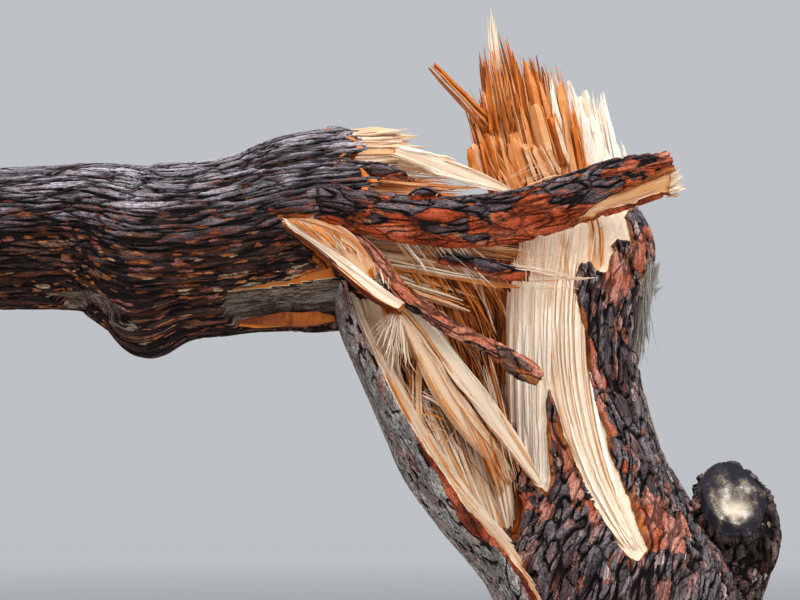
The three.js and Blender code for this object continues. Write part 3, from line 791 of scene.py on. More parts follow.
# sky is the colour of a painted sky reflection on the plates' upper sides, and the share after it says how
# strongly it is painted
TRUNK_LOOKS = {
    "dark": (0.017, 0.010, 0.011), "light": (0.180, 0.135, 0.142), "sky": (0.27, 0.25, 0.26),
    "sky_reflection_share": 0.5, "flake_size": (0.056, 0.022), "flake_rarity": 0.14, "sky_rarity": 0.0,
    "sliver_rarity": 0.45, "flake_strength": 0.95, "sky_pink": 0.0, "skin_shift": 0.32, "skin_islands": 0.05,
    "fissure": 0.15, "flake_stops": TRUNK_FLAKES, "odd_share": 0.8, "odd_stops": TRUNK_ODD,
    "old_thread": 0.8, "old_tone": -0.1, "old_stops": OLD_WOOD, "speckle": 0.90, "skin_stops": INNER_BARK,
}
BOLE_LOOKS = {
    **TRUNK_LOOKS,
    "dark": (0.008, 0.004, 0.003), "light": (0.062, 0.034, 0.028), "sky": (0.40, 0.37, 0.415),
    "sky_reflection_share": 1.0, "flake_size": (0.046, 0.0105), "flake_rarity": 0.15, "sky_rarity": 0.25,
    "sliver_rarity": 0.30, "sky_pink": 0.5, "skin_shift": 0.0, "skin_islands": 0.0, "fissure": 0.23,
    "flake_stops": BOLE_FLAKES, "odd_share": 0.85, "odd_stops": BOLE_ODD,
}
SHELL_LOOKS = {
    **TRUNK_LOOKS,
    "dark": (0.12, 0.105, 0.095), "light": (0.40, 0.375, 0.345), "sky": (0.42, 0.40, 0.38),
    "flake_size": (0.040, 0.014), "flake_rarity": 0.13, "sliver_rarity": 0.9,
    "flake_strength": 0.75, "skin_shift": -0.1, "skin_islands": 0.0, "fissure": 0.075,
    "flake_stops": SHELL_FLAKES, "odd_share": 0.3, "odd_stops": SHELL_FLAKES,
}
STRIP_LOOKS = {
    **TRUNK_LOOKS,
    "light": (0.13, 0.085, 0.085), "sky": (0.22, 0.18, 0.20), "sky_reflection_share": 0.6,
    "flake_size": (0.034, 0.012), "flake_rarity": 0.10, "sky_rarity": 0.05, "sliver_rarity": 0.75,
    "flake_strength": 0.9, "sky_pink": 0.3, "skin_shift": -0.08, "fissure": 0.19,
    "flake_stops": BOLE_FLAKES, "odd_share": 0.3, "skin_stops": TORN_INNER_BARK,
}
BOUGH_LOOKS = {
    **BOLE_LOOKS,
    "dark": (0.030, 0.022, 0.021), "light": (0.13, 0.105, 0.10), "sky": (0.22, 0.20, 0.20), "sky_reflection_share": 0.7,
    "flake_size": (0.035, 0.010), "sky_rarity": 0.02, "sliver_rarity": 0.88,
    "flake_strength": 0.7, "sky_pink": 0.2, "fissure": 0.12, "odd_share": 0.3,
}
# The old stub has slate and white lichen on its cut
STUB_LOOKS = {
    **TRUNK_LOOKS, "light": (0.10, 0.072, 0.055), "sliver_rarity": 0.9, "old_thread": 0.12, "old_tone": 0.42,
    "old_stops": [(0.0, (0.030, 0.028, 0.036)), (0.16, (0.055, 0.049, 0.058)), (0.24, (0.16, 0.12, 0.085)),
                  (0.38, (0.33, 0.29, 0.23)), (0.50, (0.70, 0.68, 0.65))],
}
BARKS = {
    "trunk": (TRUNK_BARK, TRUNK_LOOKS),
    "bole": (BOLE_BARK, BOLE_LOOKS),
    "shell": (SHELL_BARK, SHELL_LOOKS),
    "strip": (STRIP_BARK, STRIP_LOOKS),
    "narrow": (STRIP_BARK, {**STRIP_LOOKS, "dark": (0.05, 0.022, 0.014), "light": (0.28, 0.13, 0.08),
                            "skin_shift": 0.48, "odd_share": 0.4}),
    "bough": (BOUGH_BARK, BOUGH_LOOKS),
    "stub": (TRUNK_BARK, STUB_LOOKS),
}
FINISHES = {kind: bark_finish(kind + "_bark", *pair) for kind, pair in BARKS.items()}
RELIEFS = {kind: relief_tree(kind + "_relief", pair[0]) for kind, pair in BARKS.items()}


def barked(limb, name, kind, slot, nodes):
    """A limb with one kind of bark, as a finished piece that never reaches below the ground."""
    inputs = {"Depth": BARKS[kind][0]["depth"], "Finish": FINISHES[kind]}
    mesh = run_nodes(limb.to_object(name + "_base"), RELIEFS[kind], inputs)
    points = np.zeros(len(mesh.vertices) * 3)
    mesh.vertices.foreach_get("co", points)
    points[2::3] = np.maximum(points[2::3], 0)
    mesh.vertices.foreach_set("co", points)
    return add_piece(name, mesh, slot, nodes)


print("bark finishes:", sorted(FINISHES))

# %% [markdown]
# ## Outlines seen in the picture
# Where the bark was torn away has no simple rule, so a few outlines are given as pixels of the picture, and
# each point of a limb that faces the camera finds its own pixel and its distance from the outline. The
# distance runs smoothly over the edge, so the torn border stays sharp however coarse the mesh is.

# %% Distance from an outline
METRES_PER_PIXEL = 0.0025
# A surface that faces the camera by less than this cosine counts as outside an outline
LEAST_FACING = 0.12
# The near side has normals with a lower Y than this, and a place on it is a mean of so many grid points
NEAR_NORMAL = -0.05
NEIGHBOURS = 4


def inside_distance(limb, outline):
    """How far inside an outline each point of a limb shows, in metres. Points that face away are outside."""
    spots = picture_of(limb.points.reshape(-1, 3))
    corners = np.array(outline, float)
    nearest = np.full(len(spots), 1e9)
    inside = np.zeros(len(spots), bool)
    for first, second in zip(corners, np.roll(corners, -1, axis=0)):
        edge = second - first
        offset = spots - first
        part = np.clip(offset @ edge / (edge @ edge), 0, 1)
        nearest = np.minimum(nearest, np.linalg.norm(offset - part[:, None] * edge, axis=1))
        crosses = (first[1] > spots[:, 1]) != (second[1] > spots[:, 1])
        if second[1] != first[1]:
            cut = first[0] + (spots[:, 1] - first[1]) * edge[0] / edge[1]
            inside ^= crosses & (spots[:, 0] < cut)
    distance = np.where(inside, nearest, -nearest) * METRES_PER_PIXEL
    facing = -limb.normals()[..., 1]
    away = np.clip(LEAST_FACING - facing, 0, 1) * 0.5
    return distance.reshape(facing.shape) - away


def near_side(limb, pixels):
    """The places on a limb that show at these pixels, and its outward directions there."""
    points, normals = limb.body[:2]
    near = normals[..., 1] < NEAR_NORMAL
    points, normals = points[near], normals[near]
    tree = mathutils.kdtree.KDTree(len(points))
    for number, spot in enumerate(picture_of(points)):
        tree.insert((*spot, 0), number)
    tree.balance()
    flat = pixels.reshape(-1, 2)
    found = np.array([[hit[1] for hit in tree.find_n((*spot, 0), NEIGHBOURS)] for spot in flat])
    shape = (*pixels.shape[:-1], 3)
    return points[found].mean(axis=1).reshape(shape), unit(normals[found].mean(axis=1)).reshape(shape)


def widest(*fields):
    return np.maximum.reduce(np.broadcast_arrays(*fields))


print("an outline is read at about", METRES_PER_PIXEL / MM, "mm a pixel")

# %% [markdown]
# ## The rooted trunk
# Five buttress roots fade out above the ground, the stem is slimmest at knee to waist height, and it swells
# again where it once forked. Its torn top narrows to the foot of the splinters. On the front a tall face of
# pale sapwood is bare, where a strip of bark was pulled down with the falling stem, and the whole left side
# is torn. The bark's plates slant, because the grain of this stem turns as it rises.

# %% Trunk
TRUNK_RADIUS = 265
FLARE_HEIGHT = 420
SPLIT_HEIGHT = 1495
ROOT_LOBES = 5
LOBE_DEPTH = 0.16
LOBE_TURN = 0.6
TRUNK_STATIONS = sized(TRUNK_RADIUS, [
    (0, 0, 0, 1.5),
    (0, 0, 130, 1.2),
    (0, 0, FLARE_HEIGHT, 1.04),
    (-5, 0, 750, 1),
    (-15, 0, 1050, 1.01),
    (-45, 0, 1260, 1.06),
    (-62, 0, 1400, 1.08),
    (-92, 10, SPLIT_HEIGHT, 1.065, 1.06),
    (-117, 22, SPLIT_HEIGHT + 110, 0.905, 0.92),
    (-147, 36, SPLIT_HEIGHT + 250, 0.765, 0.77),
    (-170, 44, SPLIT_HEIGHT + 400, 0.7, 0.66),
    (-172, 45, SPLIT_HEIGHT + 560, 0.675, 0.6),
    (-145, 45, SPLIT_HEIGHT + 690, 0.73, 0.55),
    (-135, 45, SPLIT_HEIGHT + 800, 0.71, 0.48),
    (-155, 40, SPLIT_HEIGHT + 895, 0.62, 0.38),
    (-190, 35, SPLIT_HEIGHT + 995, 0.52, 0.25),
])
# Outlines in the picture: the pale bare face, a knot of bark on it, the torn side, a warm and a frayed patch
CREAM_FACE = [
    (499, 300), (498, 332), (500, 382), (508, 430), (520, 462), (530, 480), (545, 493), (550, 478),
    (548, 453), (546, 434), (545, 407), (548, 384), (552, 396), (558, 415), (562, 434), (568, 446),
    (580, 474), (588, 488), (598, 503), (604, 520), (618, 542), (630, 556), (640, 560), (650, 548),
    (644, 534), (632, 504), (624, 480), (616, 463), (608, 434), (596, 403), (589, 367), (583, 322),
    (577, 300), (576, 276), (582, 262), (592, 259), (596, 268), (603, 271), (609, 270), (612, 254),
    (618, 246), (628, 258), (633, 240), (628, 214), (640, 190), (500, 180), (500, 245),
]
KNOT = [(612, 244), (619, 237), (632, 240), (628, 255), (622, 256), (615, 251)]
TORN_SIDE = [
    (520, 180), (300, 200), (320, 330), (395, 372), (425, 430), (470, 478), (500, 512), (512, 545),
    (520, 530), (522, 505), (508, 470), (500, 430), (494, 382), (494, 300), (504, 262),
]
WARM_PATCH = [(588, 230), (603, 226), (607, 262), (598, 272), (589, 264)]
FRINGE = [
    (651, 262), (676, 262), (674, 300), (660, 326), (652, 352), (652, 385), (664, 425), (682, 470),
    (672, 470), (652, 428), (640, 392), (636, 352), (634, 338), (637, 308), (645, 284),
]
# Places where only the outer bark is gone
RED_SKIN = [
    [(470, 470), (505, 478), (540, 498), (560, 505), (552, 522), (530, 520), (500, 500)],
    [(545, 375), (556, 400), (566, 445), (582, 478), (600, 510), (596, 522), (572, 490), (556, 462),
     (548, 430)],
    [(631, 240), (642, 237), (643, 262), (634, 277), (625, 283), (621, 271), (629, 258)],
    [(610, 252), (624, 256), (624, 284), (615, 306), (607, 300), (609, 272)],
    [(589, 272), (600, 270), (601, 296), (594, 306), (588, 292)],
    [(583, 322), (592, 360), (600, 400), (611, 440), (630, 475), (652, 505), (640, 506), (612, 450),
     (592, 390)],
    [(626, 480), (652, 498), (680, 512), (692, 535), (684, 560), (652, 556), (636, 530)],
]
# The grain turns from each height down, for so many metres and by so many radians in each of them
GRAIN_TURNS = [(1.72, 0.42, 2.4), (1.30, 2, 0.5)]
TORN_HEIGHT = 2.385
JAG_HEIGHTS = (0.030, 0.018)
TORN_SIDE_WAY = (-1.0, 0.12, 0.0)
TORN_SIDE_LOWEST = 1.47
TORN_SIDE_RISE = 0.9
TORN_SIDE_TEETH = 0.05
TORN_SIDE_COSINE = 0.30
TORN_SIDE_FRONT = 0.25
PALE_TONE = 0.03
# The pale face left of this pixel lies in the shade of the tongue and planks. Its tone is lowered by the next
# amount, which paints it whiter, as painted light
SHADED_PANEL_END = 549
SHADED_PANEL_LIFT = 0.08
HEART_TONE = 0.42
# The torn wood that shows in the gap is painted dark rust, darker than the rest of the torn side, as painted
# shade
GAP_TONE = 0.9
FRINGE_TONE = -2.4
WARM_TONE = 0.30
GROUND_EDGE = 0.02
VIEW_HEIGHT = 1350
FINE_RING = 5.4
COARSE_RING = 12.5
TRUNK_SIDES = 256


def root_swell(height, angle):
    """The five buttresses, on height in metres."""
    fade = np.maximum(0, 1 - height / (FLARE_HEIGHT * MM)) ** 2
    return 1 + LOBE_DEPTH * fade * np.cos(ROOT_LOBES * angle + LOBE_TURN)


def trunk_twist(centre):
    """Radians that the grain has turned at each height: most of the turn is under the old fork."""
    return -sum(rate * np.clip(top - centre[:, 2], 0, reach) for top, reach, rate in GRAIN_TURNS)


trunk_shares = graded_shares(TRUNK_STATIONS, lambda p: FINE_RING if p[2] > VIEW_HEIGHT else COARSE_RING)
trunk = Limb(TRUNK_STATIONS, trunk_shares, ring_angles(TRUNK_SIDES, 0.35), level=True, swell=root_swell,
             twist=trunk_twist)
trunk_way = unit(trunk.normals() * (1, 1, 0))
leftness = trunk_way @ unit(np.array(TORN_SIDE_WAY))
trunk_height = trunk.points[..., 2]
teeth = np.sin(23 * trunk.angles)
torn_lowest = TORN_SIDE_LOWEST + TORN_SIDE_RISE * (1 - leftness) ** 2 + TORN_SIDE_TEETH * teeth
torn_side = np.minimum((leftness - TORN_SIDE_COSINE) * 0.25, (trunk_height - torn_lowest) * 0.4)
torn_side = np.minimum(torn_side, (trunk_way[..., 1] + TORN_SIDE_FRONT) * 0.3)
cream = np.minimum(inside_distance(trunk, CREAM_FACE), -inside_distance(trunk, KNOT))
torn_gap = inside_distance(trunk, TORN_SIDE)
fringe = inside_distance(trunk, FRINGE)
jags = JAG_HEIGHTS[0] * np.sin(9 * trunk.angles) + JAG_HEIGHTS[1] * np.sin(23 * trunk.angles + 1)
torn_top = trunk_height - TORN_HEIGHT - jags * np.clip(trunk_way[..., 1] + 0.5, 0, 1)
trunk.notes["bare"] = widest(cream, torn_gap, torn_side, torn_top, fringe)
trunk.notes["rust"] = widest(*[inside_distance(trunk, outline) for outline in RED_SKIN])
torn_tone = (HEART_TONE + 0.20 * np.sin(7 * trunk.angles + 4 * trunk_height)
             + 0.14 * np.sin(19 * trunk.angles + 3 * np.sin(5 * trunk_height)))
# Painted light: the panel that lies in shade is given a lower tone, which paints it whiter
shaded = picture_of(trunk.points.reshape(-1, 3))[:, 0].reshape(cream.shape) < SHADED_PANEL_END
pale_tone = np.where(shaded, PALE_TONE - SHADED_PANEL_LIFT, PALE_TONE)
is_warm = inside_distance(trunk, WARM_PATCH) > 0
# In the gap the torn wood takes the darker gap tone, which is painted shade
trunk.notes["tone"] = np.select([is_warm, fringe > -0.012, cream > -0.006, torn_gap > -0.02],
                                [WARM_TONE, FRINGE_TONE, pale_tone, GAP_TONE], torn_tone)
trunk.notes["hold"] = np.clip(1 - trunk_height / GROUND_EDGE, 0, 1)
trunk.cap(last=False, hollow=0.0, rings=8, tone=0.3, hold=1.0)
trunk.cap(last=True, hollow=-0.03, rings=14, tone=0.5)
barked(trunk, "trunk_bark", "trunk", "bark", ["trunk"])

# %% [markdown]
# ## The fallen stem
# The upper trunk lies almost level, and its grain runs along it. Its broken end is a ragged hollow. From
# below, an old ring of branches swells it, and near the break some of its bark has worn to grey fibres.

# %% Fallen stem
BOLE_HEIGHT = 2300
BOLE_RADIUS = 230
BOLE_STATIONS = sized(BOLE_RADIUS, [
    (-690, 0, BOLE_HEIGHT + 25, 1.1, 1.0),
    (-855, 0, BOLE_HEIGHT, 1.1, 1.04),
    (-985, 0, BOLE_HEIGHT - 25, 0.98, 1),
    (-1110, 0, BOLE_HEIGHT - 42, 0.965, 0.98),
    (-1240, 0, BOLE_HEIGHT - 44, 0.97, 0.95),
    (-1370, 0, BOLE_HEIGHT - 12, 0.83, 0.86),
    (-1495, 0, BOLE_HEIGHT - 10, 0.79),
    (-1900, 10, BOLE_HEIGHT - 25, 0.76),
    (-2350, 25, BOLE_HEIGHT - 70, 0.69),
    (-2850, -25, BOLE_HEIGHT - 130, 0.58),
    (-3400, 25, BOLE_HEIGHT - 250, 0.44),
    (-4150, -20, BOLE_HEIGHT - 460, 0.2),
])
WHORL_CENTRE = np.array((-1.235, -0.03, 2.11))
WHORL_STEEPNESS = 2.2
WHORL_SWELL = 0.055
WHORL_REACH = 0.17
GREY_FIBRES = [(225, 300), (240, 289), (290, 286), (345, 280), (350, 330), (250, 334), (226, 318)]
TAN_FIBRES = [(50, 297), (75, 292), (104, 298), (124, 310), (132, 326), (114, 320), (92, 311), (66, 305)]
TORN_UNDER_TONGUE = [(280, 216), (306, 217), (372, 206), (380, 250), (330, 270), (300, 240)]
TORN_STREAK = [(216, 296), (250, 288), (290, 281), (334, 270), (336, 278), (292, 288), (250, 294)]
BOLE_VIEW_END = -1700
BOLE_SIDES = 236
RAGGED_REACH = 0.045
RAGGED_FADE = 0.16

bole_shares = graded_shares(BOLE_STATIONS, lambda p: FINE_RING if p[0] > BOLE_VIEW_END else 1.2 * COARSE_RING)
bole = Limb(BOLE_STATIONS, bole_shares, ring_angles(BOLE_SIDES, 0.3))
bole_normals = bole.normals()
from_whorl = np.linalg.norm((bole.points - WHORL_CENTRE) * (WHORL_STEEPNESS, 1.0, 1.0), axis=2)
near_whorl = from_whorl / WHORL_REACH
bole.points += bole_normals * (WHORL_SWELL * np.exp(-near_whorl ** 3))[..., None]
ragged = (np.sin(3 * bole.angles + 1.0) + 0.7 * np.sin(7 * bole.angles) + 0.5 * np.sin(17 * bole.angles + 2.0)
          + 0.35 * np.sin(31 * bole.angles))
end_distance = (bole.points[0, :, 0].mean() - bole.points[..., 0]) / RAGGED_FADE
bole.points[..., 0] += RAGGED_REACH * ragged * np.clip(1 - end_distance, 0, 1) ** 2
grey = inside_distance(bole, GREY_FIBRES)
tan = inside_distance(bole, TAN_FIBRES)
under_tongue = widest(inside_distance(bole, TORN_UNDER_TONGUE), inside_distance(bole, TORN_STREAK))
bole.notes["bare"] = widest(grey, tan, under_tongue)
old_tone = np.where(grey > tan, -0.95, -0.45)
bole.notes["tone"] = np.where((widest(grey, tan) > -0.02) & (under_tongue < 0), old_tone, 0.6)
bole.close((0.07, 30, 0.62), (0.0, 5, 0.3))
barked(bole, "bole_bark", "bole", "bark", ["fallen_bole"])

# %% [markdown]
# ## The other barked pieces
# The old pruned bough, the strip of shell that still carries the fallen stem, the long tongue of bark across
# the break, and the narrow strip under it are limbs too. Each has bark on the side that was the outside of
# the tree, and bare wood or red inner bark on the side that was torn.

# %% Sawn stub
STUB_STATIONS = [(60, 5, 1360, 190), (150, -5, 1475, 150), (203, -60, 1560, 112), (172, -167, 1642, 63)]
# The saw cut faces further forward than the stub points: how much further along it lies for each metre
STUB_CUT = np.array((-0.25, 0.38, 0.46))
STUB_SIDES = 110
STUB_RINGS = 60
STUB_FACE_RINGS = 26
LIP_SWELL = 0.010

stub_shares = np.linspace(0, 1, STUB_RINGS)
stub = Limb(STUB_STATIONS, stub_shares, ring_angles(STUB_SIDES), depth_axis=(1, 0, 0))
lip = stub_shares[:, None]
healing = LIP_SWELL * np.exp(-((lip - 0.9) / 0.06) ** 2) * (1 + 0.4 * np.sin(5 * stub.angles)[None])
stub.points += stub.normals() * healing[..., None]
shift = (stub.points - stub.centre[:, None]) @ STUB_CUT * np.clip((lip - 0.4) / 0.6, 0, 1) ** 2
stub.points += stub.along[:, None] * shift[..., None]
stub.notes["bare"][:] = (lip - 0.93) * 0.3
stub.notes["tone"][:] = -0.95
stub.notes["hold"][:] = np.clip((lip - 0.9) / 0.08, 0, 1)
stub.cap(last=False, hollow=0.0, rings=3, tone=-1.0)
stub.cap(last=True, hollow=0.006, rings=STUB_FACE_RINGS, tone=-1.0, hold=1.0)
from_middle = np.linspace(1, 0, STUB_FACE_RINGS + 1)[1:, None]
face_height = from_middle * np.cos(stub.angles)
stub.notes["tone"][-STUB_FACE_RINGS:] = -0.35 - 0.75 * from_middle ** 4 - 0.4 * face_height
barked(stub, "stub_bark", "stub", "sawn_wood", ["sawn_stub"])

# %% Shell that carries the fallen stem
SHELL_STATIONS = [
    (-190, -20, SPLIT_HEIGHT - 340, 50, 140),
    (-258, -30, SPLIT_HEIGHT - 190, 78, 190),
    (-336, -38, SPLIT_HEIGHT - 40, 64, 172),
    (-462, -50, 1607, 62, 150),
    (-535, -55, 1710, 63, 140),
    (-598, -60, 1829, 54, 130),
    (-652, -60, 1941, 50, 120),
    (-702, -60, 2052, 47, 110),
    (-735, -60, 2165, 36, 100),
]
SHELL_RED = [(444, 478), (456, 480), (470, 494), (492, 516), (515, 545), (524, 562), (514, 566), (498, 556),
             (478, 540), (460, 520), (449, 500)]
SHELL_INSIDE = (0.86, -0.22, 0.45)
SHELL_SIDES = 190
SHELL_SPACING = 5.6

shell_shares = graded_shares(SHELL_STATIONS, lambda p: SHELL_SPACING)
shell = Limb(SHELL_STATIONS, shell_shares, ring_angles(SHELL_SIDES, 0.3))
inward = shell.normals() @ unit(np.array(SHELL_INSIDE))
foot = shell.centre[:, 2:]
shell.notes["bare"] = (inward - 0.36 - 0.36 * np.clip((1.86 - foot) / 0.15, 0, 1)) * 0.09
shell.notes["tone"] = -0.04 + 0.20 * np.clip((inward - 0.6) / 0.4, 0, 1)
red_edge = (inward - 0.30) * 0.09 - np.clip(foot - 1.70, 0, 1) * 0.22
shell.notes["rust"] = widest(red_edge, inside_distance(shell, SHELL_RED))
shell.close((0.0, 3, 0.3), (0.0, 6, 0.4))
barked(shell, "shell_bark", "shell", "grey_bark", ["hinge_shell"])

# %% Tongue of bark
TONGUE_STATIONS = [
    (-860, -195, 2338, 46, 30),
    (-740, -222, 2314, 50, 36),
    (-600, -245, 2282, 56, 36),
    (-460, -256, 2270, 61, 36),
    (-320, -262, 2285, 61, 35),
    (-200, -262, 2320, 61, 34),
    (-80, -256, 2362, 62, 33),
    (45, -250, 2395, 50, 28),
]
TONGUE_SIDES = 150
TONGUE_SPACING = 4.6
TONGUE_PLANK = [(575, 222), (612, 196), (640, 186), (668, 172), (700, 168), (700, 215), (640, 214),
                (600, 228)]

tongue = even_limb(TONGUE_STATIONS, TONGUE_SIDES, TONGUE_SPACING)
tongue_normals = tongue.normals()
tongue_share = np.linspace(0, 1, len(tongue.points))[:, None]
below = -tongue_normals[..., 2]
behind = tongue_normals[..., 1]
tongue.notes["bare"] = widest(inside_distance(tongue, TONGUE_PLANK), (behind - 0.35) * 0.08)
red_end = (tongue_share - 0.955) * 4 - np.abs(tongue_normals[..., 1] + 0.6) * 0.1
red_below = (below - 0.02 + 0.22 * np.sin(tongue_share * 23)) * 0.05
red_below = red_below - np.clip(0.24 - tongue_share, 0, 1) * 0.3
tongue.notes["rust"] = widest(red_below, red_end)
tongue.notes["tone"][:] = 0.34
tongue.close((0.0, 3, 0.4), (-0.008, 10, 0.3))
barked(tongue, "tongue_bark", "strip", "red_bark", ["bark_tongue"])

# %% Narrow strip of bark
STRIP_STATIONS = [
    (-770, -185, 2275, 24, 16),
    (-690, -215, 2225, 23, 16),
    (-600, -228, 2115, 22, 15),
    (-485, -228, 2030, 21, 15),
    (-380, -225, 1976, 22, 15),
    (-312, -225, 1930, 29, 18),
    (-274, -225, 1903, 16, 11),
]
STRIP_SIDES = 64
STRIP_SPACING = 3.6

strip = even_limb(STRIP_STATIONS, STRIP_SIDES, STRIP_SPACING)
strip_rise = strip.notes["rise"]
strip_share = np.linspace(0, 1, len(strip.points))[:, None]
strip.notes["bare"] = (strip_rise - 0.55) * 0.05
strip.notes["rust"] = (0.75 - strip_share + strip_rise * 0.6) * 0.06
strip.notes["tone"][:] = 0.5
strip.close((0.0, 2, 0.4), (-0.016, 6, 0.95))
barked(strip, "strip_bark", "narrow", "red_bark", ["bark_strip"])

# %% [markdown]
# ## Torn wood as splinters
# Green wood tears along its fibres, so each torn board is a sheaf of long splinters with a jagged end. A
# plain slab with a texture would look cut, not torn. Numpy lays out the splinters as rows of points, and one
# Geometry Nodes tree turns each row into a curve, sweeps a flat profile along it and sets the finish.

# %% Sweeping a profile along many paths
SPLINTER_FLATNESS = 0.38


def sweep_tree(name, sides):
    """Each loose row of points becomes a rod, as wide as its notes say. Four sides give a flat splinter."""
    net, rows, finish = geometry_net(name, {"Rows": "Geometry", "Finish": "Material"})
    paths = net.add("GeometryNodeMeshToCurve", {"Mesh": rows})
    ends = {"Curve": paths, "Normal": net.note("face", "FLOAT_VECTOR")}
    facing = net.add("GeometryNodeSetCurveNormal", ends, mode="FREE")
    if sides == 4:
        section = {"Width": 1.0, "Height": SPLINTER_FLATNESS}
        profile = net.add("GeometryNodeCurvePrimitiveQuadrilateral", section)
    else:
        profile = net.add("GeometryNodeCurvePrimitiveCircle", {"Resolution": sides, "Radius": 0.5})
    ends = {"Curve": facing, "Profile Curve": profile, "Scale": net.note("width"), "Fill Caps": True}
    net.end_tree(net.add("GeometryNodeCurveToMesh", ends), finish)
    return net.tree


SPLINTER_SWEEP = sweep_tree("splinter_sweep", 4)
HAIR_SWEEP = sweep_tree("hair_sweep", 3)
print("a splinter is", SPLINTER_FLATNESS, "of its width thick")

# %% Rows of points
GRAIN_STEP = (0.37, 0.11)


class Rows:
    """Rows of points for one piece, with notes of each point's width, tone, facing and place in the grain."""

    def __init__(self):
        self.count = 0
        self.points = np.empty((0, 3))
        self.edges = []
        self.notes = {"width": [], "tone": [], "face": [], "grain": []}

    def add(self, points, width, face, tone):
        """points (rows, points, 3), and the rest in shapes that fit them."""
        rows, count = points.shape[:2]
        index = len(self.points) + np.arange(rows * count).reshape(rows, count)
        self.edges.append(np.stack((index[:, :-1], index[:, 1:]), axis=2).reshape(-1, 2))
        steps = np.linalg.norm(np.diff(points, axis=1), axis=2)
        run = np.concatenate((np.zeros((rows, 1)), np.cumsum(steps, axis=1)), axis=1)
        number = np.broadcast_to(self.count + np.arange(rows)[:, None], run.shape)
        grain = np.stack((run, *(number * step for step in GRAIN_STEP)), axis=2)
        for name, values in {"width": width, "tone": tone}.items():
            self.notes[name].append(np.broadcast_to(values, (rows, count)).reshape(-1, 1))
        for name, values in {"face": face, "grain": grain}.items():
            self.notes[name].append(np.broadcast_to(values, points.shape).reshape(-1, 3))
        self.points = np.concatenate((self.points, points.reshape(-1, 3)))
        self.count += rows

    def to_object(self, name):
        mesh = bpy.data.meshes.new(name)
        mesh.from_pydata(self.points, np.concatenate(self.edges), [])
        for note, values in self.notes.items():
            add_note(mesh, note, np.concatenate(values))
        return link(name, mesh)


print("rows lie", GRAIN_STEP, "apart in the grain")

# %% The finish of torn wood


def torn_wood_finish():
    material, net = new_finish("torn_wood")
    grain = read_note(net, "grain", "Vector")
    place = net.add("ShaderNodeTexCoord", {}, "Object")
    streak = net.streaks(grain, 7, 40, 3) - 0.5
    blotch = net.noise(place, 9.0, 3.0) - 0.5
    fibre = net.noise(grain * (18, 900, 900) + place * (140, 140, 60), 1.0, 3.0)
    kind = read_note(net, "tone")
    tone = kind + (streak * 0.5 + blotch * 0.3) * (0.35 + kind) + (fibre - 0.5) * 0.28
    colour = wood_colour(net, tone)
    end_finish(net, colour, 0.72, fibre * 0.0018)
    return material


TORN_WOOD = torn_wood_finish()


def swept(rows, name, slot, nodes, tree=SPLINTER_SWEEP):
    """Rows of points as a finished piece of torn wood."""
    mesh = run_nodes(rows.to_object(name + "_rows"), tree, {"Finish": TORN_WOOD})
    mesh.polygons.foreach_set("use_smooth", [False] * len(mesh.polygons))
    print(name, rows.count, "rows")
    return add_piece(name, mesh, slot, nodes)


print("splinters have the finish", TORN_WOOD.name)

# %% Sheaves of splinters
KNOTS = 7
WIGGLE = 0.0009
# Broad splinters for each millimetre of a board's width, and how wide its tip is, as a share of its root
BROAD_SPLINTERS = 0.17
TIP_WIDTH = 0.78


def uneven(draw, count, spread, least, most):
    """Sizes that vary round 1, as the widths of splinters do."""
    return np.clip(np.exp(draw.normal(size=count) * spread), least, most)


def sheaf(rows, root, tip, count, width, tone, seed, layers=0.02, ragged=0.35, teeth=3, bow=0.010, fray=0.014,
          face=(0, -1, 0), blunt=0.35, square=0.94, roll=0.35):
    """Splinters from a root line to a tip line, the paler ones in front and the darker ones behind, as
    painted
    shade: the first tone is the front's and the second the back's. layers is the sheaf's thickness, ragged
    the share that the teeth cut into it, and fray how far a tip strays, as a share of its length.
    blunt is the share of splinters that keep their width up to square, a share of their length."""
    draw = np.random.default_rng(seed)
    across = (np.arange(count) + draw.random(count)) / count
    start = between(np.array(root, float), across[:, None])
    end = between(np.array(tip, float), across[:, None])
    tooth = np.abs(2 * ((across * teeth + 0.5 * draw.random()) % 1) - 1)
    reach = 1 - ragged * (0.62 * tooth + 0.38 * draw.random(count) ** 0.7)
    end = start + (end - start) * reach[:, None]
    length = np.linalg.norm(end - start, axis=1)
    facing = unit(np.array(face, float))
    lift = draw.random(count) - 0.5
    start = start + facing * lift[:, None] * layers
    end = end + facing * lift[:, None] * layers * 1.1
    end = end + draw.normal(size=(count, 3)) * (fray * length)[:, None]
    share = np.linspace(0, 1, KNOTS)[None, :, None]
    bend = draw.normal(size=(count, 1, 3)) * (bow * length)[:, None, None]
    wiggle = draw.normal(size=(count, KNOTS, 3)) * WIGGLE
    points = start[:, None] + (end - start)[:, None] * share + bend * np.sin(math.pi * share) * share + wiggle
    size = width * uneven(draw, count, 0.55, 0.35, 2.6)
    point_start = np.where(draw.random(count) < blunt, square, 0.45 + 0.4 * draw.random(count))[:, None]
    run = share[..., 0]
    taper = np.clip((1.02 - run) / (1.02 - point_start), 0.07, 1) * np.clip(0.3 + 5 * run, 0, 1)
    turned = draw.normal(size=(count, 1, 3)) * roll
    # Splinters further back take the darker tone: painted shade in the depth of the sheaf
    depth = np.clip(0.5 - lift + 0.45 * draw.normal(size=count), 0, 1)
    rows.add(points, size[:, None] * taper, unit(facing + turned), between(tone, depth)[:, None])


